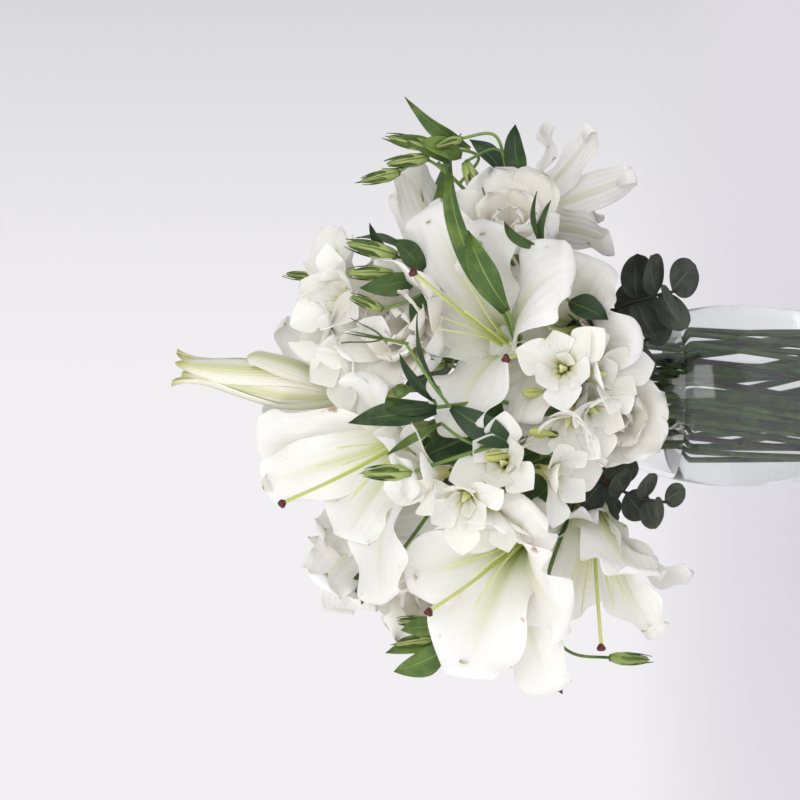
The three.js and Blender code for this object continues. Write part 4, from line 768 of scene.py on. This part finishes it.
# ---- lisianthus shoots -------------------------------------------------------------------------------
# Side shoots of lisianthus: thin branching stems with pointed leaves in pairs and slim pale buds, each
# held by long thin sepals.
# A path starts at the rim and stalks branch off it. A bud has its place, the way that it points and its size.
SHOOTS = [
    dict(path=[(-22, -78, 270), (-34, -124, 325), (-50, -132, 376)],
         leaves=[((-18, -126, 356), (-39, -134, 393), 6, (0, -1, 0.4), 0.2)],
         buds=[((-50, -132, 376), (-0.02, -0.1, 1), 1.15)],
         stalks=[[(-36, -124, 330), (-28, -126, 344), (-18, -126, 357)]]),
    dict(path=[(-12, -64, 274), (-4, -106, 318), (-8, -124, 362)],
         leaves=[((-11, -126, 360), (-18, -132, 418), 17, (0.3, -1, 0)),
                 ((-7, -128, 360), (-9, -136, 394), 9, (-0.3, -1, 0)),
                 ((-5, -124, 360), (27, -140, 385), 8, (0, -0.7, 0.7)),
                 ((3, -122, 358), (54, -134, 373), 7, (0, -0.5, 0.8)),
                 ((-8, -124, 350), (-34, -122, 306), 20, (-0.2, -1, 0))],
         stalks=[[(-8, -124, 350), (6, -132, 362), (34, -138, 381)]]),
    dict(by=(32, -21), path=[(58, -38, 285), (74, -60, 345), (82, -72, 384)],
         leaves=[((80, -72, 366), (72, -84, 408), 16, (-0.3, -1, 0)),
                 ((84, -74, 364), (104, -88, 386), 17, (0.3, -1, 0)),
                 ((74, -66, 356), (44, -88, 372), 15, (0, -0.8, 0.5)),
                 ((90, -72, 384), (116, -78, 401), 8, (0, -0.7, 0.7))],
         buds=[((82, -74, 384), (0.02, -0.15, 1), 1.1), ((94, -76, 382), (0.25, -0.1, 1), 1.2),
               ((58, -78, 392), (0.35, -0.2, 0.9), 0.8)],
         stalks=[[(76, -62, 356), (90, -72, 370), (94, -76, 384)],
                 [(74, -62, 352), (64, -76, 374), (58, -78, 393)]]),
    dict(by=(38, 6), path=[(84, -6, 290), (130, -32, 322), (160, -42, 352)],
         leaves=[((170, -44, 330), (204, -48, 375), 13, (-0.6, -0.8, 0.2)),
                 ((164, -44, 336), (172, -58, 366), 17, (0.2, -1, 0)),
                 ((160, -40, 344), (178, -46, 378), 12, (0.3, -1, 0))],
         buds=[((153, -44, 378), (-0.25, -0.1, 1), 0.95), ((163, -44, 358), (-0.15, 0, 1), 1),
               ((171, -44, 356), (0.2, 0, 1), 1.05)],
         stalks=[[(152, -40, 340), (162, -44, 362), (153, -44, 379)],
                 [(150, -38, 332), (164, -42, 324), (171, -44, 357)]]),
    dict(path=[(88, -18, 268), (130, -40, 290), (152, -48, 306)],
         leaves=[((143, -50, 293), (185, -56, 300), 17, (0, -0.7, 0.7)),
                 ((152, -46, 306), (176, -40, 330), 14, (0.4, -0.9, 0))],
         buds=[((160, -50, 334), (-0.85, -0.2, -0.35), 1.1), ((176, -48, 336), (-0.3, -0.5, 0.8), 0.8)],
         stalks=[[(140, -44, 298), (168, -54, 312), (160, -50, 334)],
                 [(150, -47, 304), (178, -52, 314), (176, -48, 337)]]),
    dict(by=(36, -14), path=[(40, -18, 264), (66, -62, 284), (88, -104, 280), (96, -120, 290)],
         leaves=[((92, -118, 288), (128, -132, 285), 9, (0, -0.4, 0.9)),
                 ((98, -122, 292), (114, -134, 316), 9, (-0.4, -0.8, 0.4), 0.3),
                 ((98, -122, 290), (134, -130, 294), 6, (0, -0.4, 0.9)),
                 ((62, -112, 270), (50, -124, 246), 18, (0.2, -1, 0.2))],
         stalks=[[(80, -96, 281), (70, -108, 276), (61, -112, 269)]]),
    dict(path=[(-70, -20, 290), (-130, -36, 318), (-166, -44, 345)],
         leaves=[((-172, -44, 344), (-188, -54, 383), 20, (-0.3, -1, 0)),
                 ((-166, -42, 346), (-176, -46, 388), 13, (0.3, -1, 0)),
                 ((-158, -44, 350), (-160, -52, 378), 14, (0.3, -1, 0))],
         buds=[((-166, -48, 356), (-0.15, -0.1, 1), 0.9), ((-156, -40, 352), (0.05, 0.1, 1), 0.9)],
         stalks=[[(-160, -43, 342), (-158, -42, 348), (-156, -40, 354)]]),
    dict(path=[(-70, -40, 256), (-130, -62, 280), (-172, -68, 282)],
         leaves=[((-170, -70, 282), (-202, -74, 270), 13, (0, -0.8, 0.5))],
         buds=[((-178, -70, 238), (-0.05, -0.05, -1), 0.95)],
         stalks=[[(-160, -67, 283), (-175, -70, 262), (-178, -70, 237)]]),
    dict(path=[(56, 10, 320), (72, 14, 390), (80, 10, 432)],
         leaves=[((100, -4, 366), (112, 30, 404), 14, (0.6, 0.3, 0.6))],
         buds=[((83, 6, 434), (0.1, -0.1, 1), 0.7), ((52, 10, 424), (0.05, 0, 1), 0.7),
               ((29, 4, 426), (0, 0, 1), 0.7)],
         stalks=[[(72, 12, 384), (60, 12, 404), (52, 10, 425)], [(66, 12, 366), (40, 8, 396), (29, 4, 427)],
                 [(74, 10, 372), (88, 0, 356), (100, -4, 367)]]),
    dict(path=[(-50, 20, 320), (-110, 26, 372), (-128, 16, 388)],
         leaves=[((-124, 10, 388), (-146, -2, 402), 10, (0, -0.8, 0.5)),
                 ((-128, 14, 388), (-128, -2, 408), 11, (0.2, -0.9, 0.3))],
         buds=[((-128, 18, 388), (-0.5, 0.4, 0.7), 0.9)]),
    dict(by=(-4, 38), path=[(-2, 62, 285), (16, 118, 312), (24, 140, 330)],
         leaves=[((24, 138, 326), (4, 158, 362), 18, (0.2, 1, 0)),
                 ((26, 138, 322), (52, 152, 356), 16, (-0.2, 1, 0.2)),
                 ((24, 130, 312), (-14, 152, 300), 18, (0, 0.8, 0.5))],
         buds=[((24, 140, 330), (0, 0.2, 1), 1.1)]),
]
BUD_LENGTH = 30
BUD_RADIUS = 6


def spray(row, ring, seats, radius=1.5):
    """The stems of a spray: its own stem from the vase's floor, its side stalks, and a short stalk to each
    seat, which is a place and the way that what sits there points."""
    route = [*through_neck(ring, row.get("by", row["path"][0])), *row["path"]]
    lines = [smooth_line(route, 16)]
    parts = [tube(route, radius * 1.15, 12, 9, 0.75)]
    for root, *rest in row.get("stalks", []):
        stalk = [nearest(lines, root), *rest]
        lines.append(smooth_line(stalk, 16))
        parts.append(tube(stalk, 1.15, 12, 8, 0.9))
    for place, way in seats:
        end = np.array(place, float) + 3 * unit(np.array(way, float))
        start = nearest(lines, place)
        if np.linalg.norm(end - start) > 0.5:
            parts.append(tube([start, end], 1.15, 8, 8))
    return parts


def sepals(place, way, reach, radius, width, count=5, flare=0.3):
    """Thin pointed sepals that stand round a bud or a blossom's root, and leave it at their tips."""
    place, way = np.array(place, float), unit(np.array(way, float))
    e1 = square_to(way)
    e2 = np.cross(way, e1)
    found = []
    for k in range(count):
        turn = TURN * k / count + random.uniform(-0.2, 0.2)
        out = math.cos(turn) * e1 + math.sin(turn) * e2
        tall = reach * random.uniform(0.85, 1.15)
        control = (place + out * 0.5, place + 0.3 * tall * way + out * radius * 1.35,
                   place + 0.7 * tall * way + out * radius * 1.15,
                   place + tall * way + out * radius * (1 + flare))
        found.append(blade(
            control, np.cross(way, out), lambda s: np.maximum(width / 2 * (1 - s) ** 0.7, 0.2),
            lambda s, u: 0.3 * width * u * u * (1 - s), 0.5, 16, 4, random.uniform(-0.4, 0.4)))
    return found


def direction(start, end):
    """The way from one point to another."""
    return np.subtract(end, start).astype(float)


leaf_green = green("leaf_green", "2c4626", "55733a", "6f8c4e", 0.4, 0.1)
sepal_green = green("sepal_green", "56733a", "84a04c", "9ab264", 0.42)
slim_bud = bud_skin("slim_bud", "b4c474", "869f4a", "93a84f")
for number, row in enumerate(SHOOTS):
    buds = row.get("buds", [])
    seats = [(item[0], direction(item[0], item[1])) for item in row["leaves"]]
    seats += [(place, way) for place, way, _ in buds]
    stems = spray(row, "outer", seats)
    body, hulls, greens = [], [], [leaf(*item) for item in row["leaves"]]
    for place, way, size in buds:
        tall, wide = BUD_LENGTH * size, 0.78 * BUD_RADIUS * size
        shape = smooth_line([(0, 0), (0.5 * wide, 0.04 * tall), (0.86 * wide, 0.2 * tall), (wide, 0.4 * tall),
                             (0.72 * wide, 0.68 * tall), (0.3 * wide, 0.92 * tall), (0, tall)], 4)
        body.append(turned(shape, place, unit(np.array(way, float)), 30, 5, 0.09, 0.45))
        hulls += sepals(place, way, 0.98 * tall, wide, 5.4 * size, 5, -0.45)
    piece(f"shoot_{number + 1}_leaves", greens, leaf_green if number % 3 else sepal_green, "leaf",
          f"lisianthus_shoot_{number + 1}")
    piece(f"shoot_{number + 1}_stems", stems, stem_skin, "stem")
    if body:
        piece(f"shoot_{number + 1}_buds", body, slim_bud, "bud")
        piece(f"shoot_{number + 1}_sepals", hulls, sepal_green, "leaf")

# ---- lisianthus flowers ------------------------------------------------------------------------------
# Double cream lisianthus flowers. Each is a cup of three rings of broad petals with frilled edges, held by
# a few thin green sepals.
LISIANTHUS = [
    dict(path=[(-12, -52, 242), (-14, -72, 236)], flower=((-12, -74, 238), (-0.1, -0.95, -0.1), 0.85)),
    dict(path=[(38, -30, 320), (46, -42, 358)], flower=((46, -44, 360), (0.05, -0.8, 0.6), 1.15)),
    dict(path=[(70, -30, 280), (98, -50, 300)], flower=((100, -52, 302), (0.6, -0.75, 0.15), 1)),
    dict(path=[(-50, 60, 262), (-90, 84, 268)], flower=((-92, 85, 268), (-0.75, 0.6, 0.1), 1.1)),
    dict(path=[(40, 64, 262), (58, 96, 262)], flower=((60, 98, 262), (0.4, 0.9, -0.1), 1.1)),
    dict(path=[(-90, -4, 320), (-122, -18, 344)], flower=((-124, -19, 345), (-0.6, -0.7, 0.4), 0.95)),
]
# The rings of petals: how many, their share of the cup's width, and of its height.
PETAL_RINGS = [(5, 1.0, 1.0), (5, 0.62, 0.95), (4, 0.3, 0.84)]
CUP_TALL = 42
CUP_WIDE = 27


def frilled(place, way, turn, tall, wide, share, broad, depth, waves, open_by):
    """A broad rounded petal of a cup: its line leaves the root, bellies out to its share of the cup's width
    and leans out at the rim. Its half width follows a quarter circle near the end, and the rim is frilled."""
    e1 = square_to(way)
    out = math.cos(turn) * e1 + math.sin(turn) * np.cross(way, e1)
    control = (place + out * 0.8, place + 0.35 * tall * way + out * wide * 0.8 * share,
               place + 0.8 * tall * way + out * wide * 0.85 * share,
               place + tall * way + out * wide * open_by * share)
    left, right = random.uniform(0, TURN, 2)

    def half(s):
        grown = 0.3 + 0.7 * np.sin(np.minimum(s / 0.72, 1) * math.pi / 2)
        rounded = np.sqrt(np.maximum(1 - np.maximum((s - 0.72) / 0.28, 0) ** 2.4, 0))
        return np.maximum(broad * grown * (0.1 + 0.9 * rounded), 0.5)

    def bend(s, u):
        cup = 0.42 * u * u * (1 - 0.5 * s)
        frill = depth * np.sin(TURN * waves * s + np.where(u > 0, left, right)) * np.abs(u) ** 2
        rim = depth * np.sin(6.5 * u + left) * np.maximum((s - 0.6) / 0.4, 0) ** 1.5
        return broad * (cup + frill * s + rim)

    return blade(control, np.cross(way, out), half, bend, 0.7, 20, 14, random.uniform(-0.15, 0.15))


def flower_skin(name, rim, heart, deep):
    """Soft blossom skin: cream, warmer towards the heart, with fine veins along each petal."""
    material, shader = finish(name, rim, 0.5, Sheen_Weight=0.08)
    make, across, along, tint, at = places(material)
    cloud = noise(make, at, 40.0)
    body = (cloud.rise(0.3, 0.7) * 0.5 + tint * 0.4).mix(colour(rim), colour(heart))
    shade = ((1 - along.rise(0.1, 0.5)) * 0.9).mix(body, colour(deep))
    veins = (across * 80.0 + cloud * 2.0).sine() * (1 - along.rise(0.7, 0.95)) + noise(make, at, 400.0)
    dress(material, shader, shade, veins, 0.00005, 0.42)
    return material


lisianthus_skin = flower_skin("lisianthus_skin", "fdfdfb", "f9f6ed", "e8e4a6")
for number, row in enumerate(LISIANTHUS):
    place, way, size = row["flower"]
    stems = spray(row, "inner", [(place, way)], 1.7)
    place, way = np.array(place, float), unit(np.array(way, float))
    petals = []
    for count, share, tall in PETAL_RINGS:
        for k in range(count):
            turn = TURN * k / count + 2.1 * share + random.uniform(-0.15, 0.15)
            reach = CUP_TALL * size * tall * random.uniform(0.93, 1.05)
            petals.append(frilled(place, way, turn, reach, CUP_WIDE * size, share, (8 + 14 * share) * size,
                                  0.06 + 0.14 * share, random.uniform(1.2, 2.2), 0.95 + 0.5 * share))
    piece(f"lisianthus_{number + 1}_petals", petals, lisianthus_skin, "lisianthus_petal",
          f"lisianthus_{number + 1}")
    piece(f"lisianthus_{number + 1}_stem", stems, stem_skin, "stem")
    held = sepals(place, way, 26 * size, 11 * size, 3 * size)
    piece(f"lisianthus_{number + 1}_sepals", held, sepal_green, "leaf")

# ---- freesias ----------------------------------------------------------------------------------------
# Sprays of white freesias. Each blossom is a narrow tube with a yellow throat that opens into two rings of
# rounded petals, and the buds further out are closed and yellow green.
FREESIAS = [
    dict(path=[(-30, -70, 262), (-46, -98, 300), (-52, -112, 345)],
         blossoms=[((-50, -108, 345), (-0.1, -0.5, 0.9), 1.1), ((-58, -104, 334), (-0.5, -0.85, 0.35), 1),
                   ((-62, -100, 318), (-0.95, -0.4, 0.1), 1), ((-46, -102, 310), (0.1, -0.95, 0.3), 1),
                   ((-40, -100, 302), (0.8, -0.6, 0.1), 0.6), ((-48, -95, 292), (-0.2, -0.75, -0.65), 1)],
         buds=[((-37, -112, 300), (-0.1, -0.3, 0.9), 0.9), ((-26, -112, 278), (0.1, -0.5, 0.8), 0.7)]),
    dict(by=(0, -28), path=[(2, -60, 250), (6, -96, 258), (4, -108, 268)],
         blossoms=[((16, -108, 272), (0.1, -0.97, 0.25), 1.05), ((-2, -104, 268), (-0.75, -0.6, 0.2), 1),
                   ((12, -106, 262), (0.1, -0.8, -0.6), 1), ((-2, -104, 262), (-0.45, -0.8, -0.4), 0.9)],
         buds=[((2, -104, 280), (0, -0.4, 0.9), 0.7)]),
    dict(path=[(40, -15, 300), (52, -22, 360), (56, -28, 396)],
         blossoms=[((40, -28, 402), (-0.6, -0.5, 0.65), 1.1), ((50, -26, 404), (-0.1, -0.3, 0.95), 1),
                   ((64, -30, 402), (0.1, -0.7, 0.7), 1.1), ((74, -24, 400), (0.55, -0.4, 0.75), 1.1),
                   ((44, -34, 398), (-0.45, -0.85, 0.2), 1), ((60, -4, 402), (0.2, 0.6, 0.75), 1)],
         buds=[((92, -20, 412), (0.5, -0.1, 0.8), 0.5)]),
    dict(path=[(-35, 60, 300), (-62, 86, 350), (-70, 92, 372)],
         blossoms=[((-70, 92, 372), (-0.3, 0.7, 0.6), 1.1), ((-80, 88, 366), (-0.8, 0.5, 0.3), 1),
                   ((-60, 96, 362), (0.3, 0.9, 0.2), 1), ((-66, 86, 378), (-0.1, 0.1, 1), 1)],
         buds=[((-76, 84, 384), (-0.4, 0.2, 0.9), 0.7)]),
    dict(by=(26, 12), path=[(62, 44, 268), (90, 84, 292), (100, 98, 312)],
         blossoms=[((100, 98, 312), (0.5, 0.6, 0.6), 1.1), ((108, 90, 304), (0.9, 0.3, 0.2), 1),
                   ((94, 104, 300), (0.2, 0.95, 0), 1), ((102, 92, 296), (0.6, 0.5, -0.6), 0.9)],
         buds=[((106, 100, 322), (0.4, 0.4, 0.8), 0.7)]),
]
FREESIA_LENGTH = 41
FREESIA_MOUTH = 22


def freesia_petal(place, way, turn, size, inner):
    """A rounded freesia petal: its line runs up the tube and then opens out and bends in a little again."""
    tall, wide = FREESIA_LENGTH * size * (0.95 if inner else 1), FREESIA_MOUTH * size
    e1 = square_to(way)
    out = math.cos(turn) * e1 + math.sin(turn) * np.cross(way, e1)
    spread = random.uniform(0.85, 1.1) * (0.82 if inner else 1)
    control = (place + 0.06 * tall * way + out * 0.12 * wide, place + 0.6 * tall * way + out * 0.12 * wide,
               place + (0.68 * tall) * way + out * 1.0 * spread * wide,
               place + (1.0 if inner else 0.86) * tall * way + out * (1.1 if inner else 1.5) * spread * wide)
    broad = wide * (0.56 if inner else 0.62)
    phase = random.uniform(0, TURN)

    def half(s):
        grown = 0.24 + 0.76 * np.clip((s - 0.25) / 0.45, 0, 1) ** 1.3
        rounded = np.maximum(1 - np.maximum((s - 0.62) / 0.38, 0) ** 1.9, 0)
        return np.maximum(broad * grown * (0.04 + 0.96 * rounded), 0.4)

    def bend(s, u):
        cup = 0.36 * u * u + 0.07 * np.sin(11 * s + 3 * u + phase) * np.abs(u)
        return half(s) * cup - 0.35 * np.exp(-(u / 0.1) ** 2)

    return blade(control, np.cross(way, out), half, bend, 0.6, 20, 12, random.uniform(-0.2, 0.2))


freesia_bud = bud_skin("freesia_bud", "dde08c", "aab645", "e6e5a6")
freesia_skin = flower_skin("freesia_skin", "fdfdfc", "f9f8f0", "ebe58a")
for number, row in enumerate(FREESIAS):
    stems = spray(row, "inner", [(place, way) for place, way, _ in [*row["blossoms"], *row["buds"]]], 1.7)
    petals, buds, cups, hearts = [], [], [], []
    for place, way, size in row["blossoms"]:
        place, way = np.array(place, float), unit(np.array(way, float))
        first = random.uniform(0, TURN)
        for k in range(6):
            petals.append(freesia_petal(place, way, first + TURN * k / 6, size, k % 2 == 1))
        club = [(0, 6), (1.5, 7), (2.2, 12), (2.6, 17), (1.6, 21), (0.9, 24), (0, 25)]
        hearts.append(turned(np.array(club) * size, place, way, 18, 3, 0.3, 0.15))
        for k in range(3):
            turn = first + TURN * (k + 0.2) / 3
            petals.append(freesia_petal(place + 5 * way, way, turn, 0.58 * size, True))
        cups += sepals(place, way, 11 * size, 3.2 * size, 5.5 * size, 3, 0.1)
    for place, way, size in row["buds"]:
        place, way = np.array(place, float), unit(np.array(way, float))
        tall, wide = 36 * size, 4.1 * size
        shape = smooth_line([(0, 0), (0.6 * wide, 0.05 * tall), (0.7 * wide, 0.3 * tall),
                             (wide * 1.15, 0.62 * tall), (0.8 * wide, 0.88 * tall), (0, tall)], 5)
        buds.append(turned(shape, place, way, 28, 3, 0.1, 0.2))
        cups += sepals(place, way, 11 * size, 3.2 * size, 5.5 * size, 3, 0.1)
    piece(f"freesia_{number + 1}_petals", petals, freesia_skin, "freesia_petal", f"freesia_{number + 1}")
    piece(f"freesia_{number + 1}_hearts", hearts, filament_pale, "pistil")
    piece(f"freesia_{number + 1}_buds", buds, freesia_bud, "bud")
    piece(f"freesia_{number + 1}_stems", stems, stem_skin, "stem")
    piece(f"freesia_{number + 1}_cups", cups, sepal_green, "leaf")

# ---- deep leaves -------------------------------------------------------------------------------------
# Broad lily and lisianthus leaves low between the flowers, which fill the bouquet from inside and close the
# view through it.
DEEP_LEAVES = [
    ((-14, -30, 296), (-46, -44, 372), 34, (0, -1, 0.1)),
    ((-34, -20, 270), (-66, -30, 352), 34, (0.2, -1, 0)),
    ((4, -30, 290), (-12, -40, 352), 30, (0.1, -1, 0)),
    ((24, -26, 280), (36, -30, 350), 30, (-0.1, -1, 0)),
    ((40, -20, 276), (66, -18, 340), 30, (-0.2, -1, 0)),
    ((-20, 20, 276), (-40, 30, 356), 34, (-0.3, 1, 0)),
    ((24, 24, 276), (44, 40, 350), 34, (0.3, 1, 0)),
    ((-40, -34, 250), (-88, -52, 300), 30, (0.3, -0.9, 0.2)),
    ((44, -34, 250), (92, -48, 288), 28, (-0.3, -0.9, 0.2)),
    ((10, -50, 246), (14, -66, 300), 30, (0, -1, 0)),
    ((-44, 34, 250), (-90, 52, 304), 30, (0.3, 0.9, 0.2)),
    ((40, 40, 250), (84, 60, 300), 30, (-0.3, 0.9, 0.2)),
]
piece("deep_leaves", [leaf(*item, arch=0.06) for item in DEEP_LEAVES], leaf_green, "leaf")

# ---- spent calyx -------------------------------------------------------------------------------------
# The one bare stalk of the second shoot ends in the thin dry sepals of a flower that has dropped.
calyx_seat = np.array([34, -138, 381])
calyx_way = np.array([0.2, -0.06, 0.97])
calyx_stalk = tube([calyx_seat + step * calyx_way for step in (-2, 8, 16)], 1.1, 8, 8)
calyx = sepals(calyx_seat + 15 * calyx_way, calyx_way, 24, 5, 1.8, 6, 0.9)
piece("shoot_2_calyx", [calyx_stalk, *calyx], sepal_green, "leaf")

# ---- floor and light ---------------------------------------------------------------------------------
# A pale floor that fades into an even pale lavender studio, brighter on the bouquet's left, with a soft
# lamp up on that side and a broader one in front.
floor_mesh = bpy.data.meshes.new("floor")
ring = np.linspace(0, TURN, 97)[:-1]
floor_points = np.column_stack([3 * np.cos(ring), 3 * np.sin(ring), np.full(96, -0.0002)])
floor_mesh.from_pydata(floor_points.tolist(), [], [list(range(96))])
floor = bpy.data.objects.new("floor", floor_mesh)
bpy.context.scene.collection.objects.link(floor)
floor_white, floor_shader = finish("floor_white", "e9e8ec", 0.7)
make = Shade(floor_white.node_tree)
spot = make.node("TexCoord", output=3)
away = make.node("VectorMath", {"operation": "LENGTH"}, {0: spot}, output=1)
make.tree.links.new((1 - away.rise(0.5, 1.6)).socket, floor_shader.inputs["Alpha"])
floor_mesh.materials.append(floor_white)
world = bpy.data.worlds.new("studio")
world.use_nodes = True
bpy.context.scene.world = world
make = Shade(world.node_tree)
across = make.node("SeparateXYZ", values={0: make.node("TexCoord", output=0)})
air = across.rise(-0.02, 0.24).mix(colour("f2f0f3"), colour("cacace"))
world.node_tree.links.new(air.socket, world.node_tree.nodes["Background"].inputs["Color"])
world.node_tree.nodes["Background"].inputs["Strength"].default_value = 1.0


def soft_lamp(name, place, toward, size, power):
    """A square soft lamp at a place, which faces a point."""
    lamp = bpy.data.lights.new(name, "AREA")
    lamp.size = size
    lamp.energy = power
    made = bpy.data.objects.new(name, lamp)
    place = np.array(place, float)
    back = unit(place - np.array(toward, float))
    right = unit(np.cross((0, 0, 1), back))
    stand = np.eye(4)
    stand[:3, :4] = np.column_stack([right, np.cross(back, right), back, place])
    made.matrix_world = Matrix(stand.tolist())
    bpy.context.scene.collection.objects.link(made)


soft_lamp("window", (-1.5, -1.0, 1.2), (0, 0, 0.33), 1.4, 10)
soft_lamp("front", (0.7, -2.0, 1.3), (0, 0, 0.33), 2.0, 23.5)
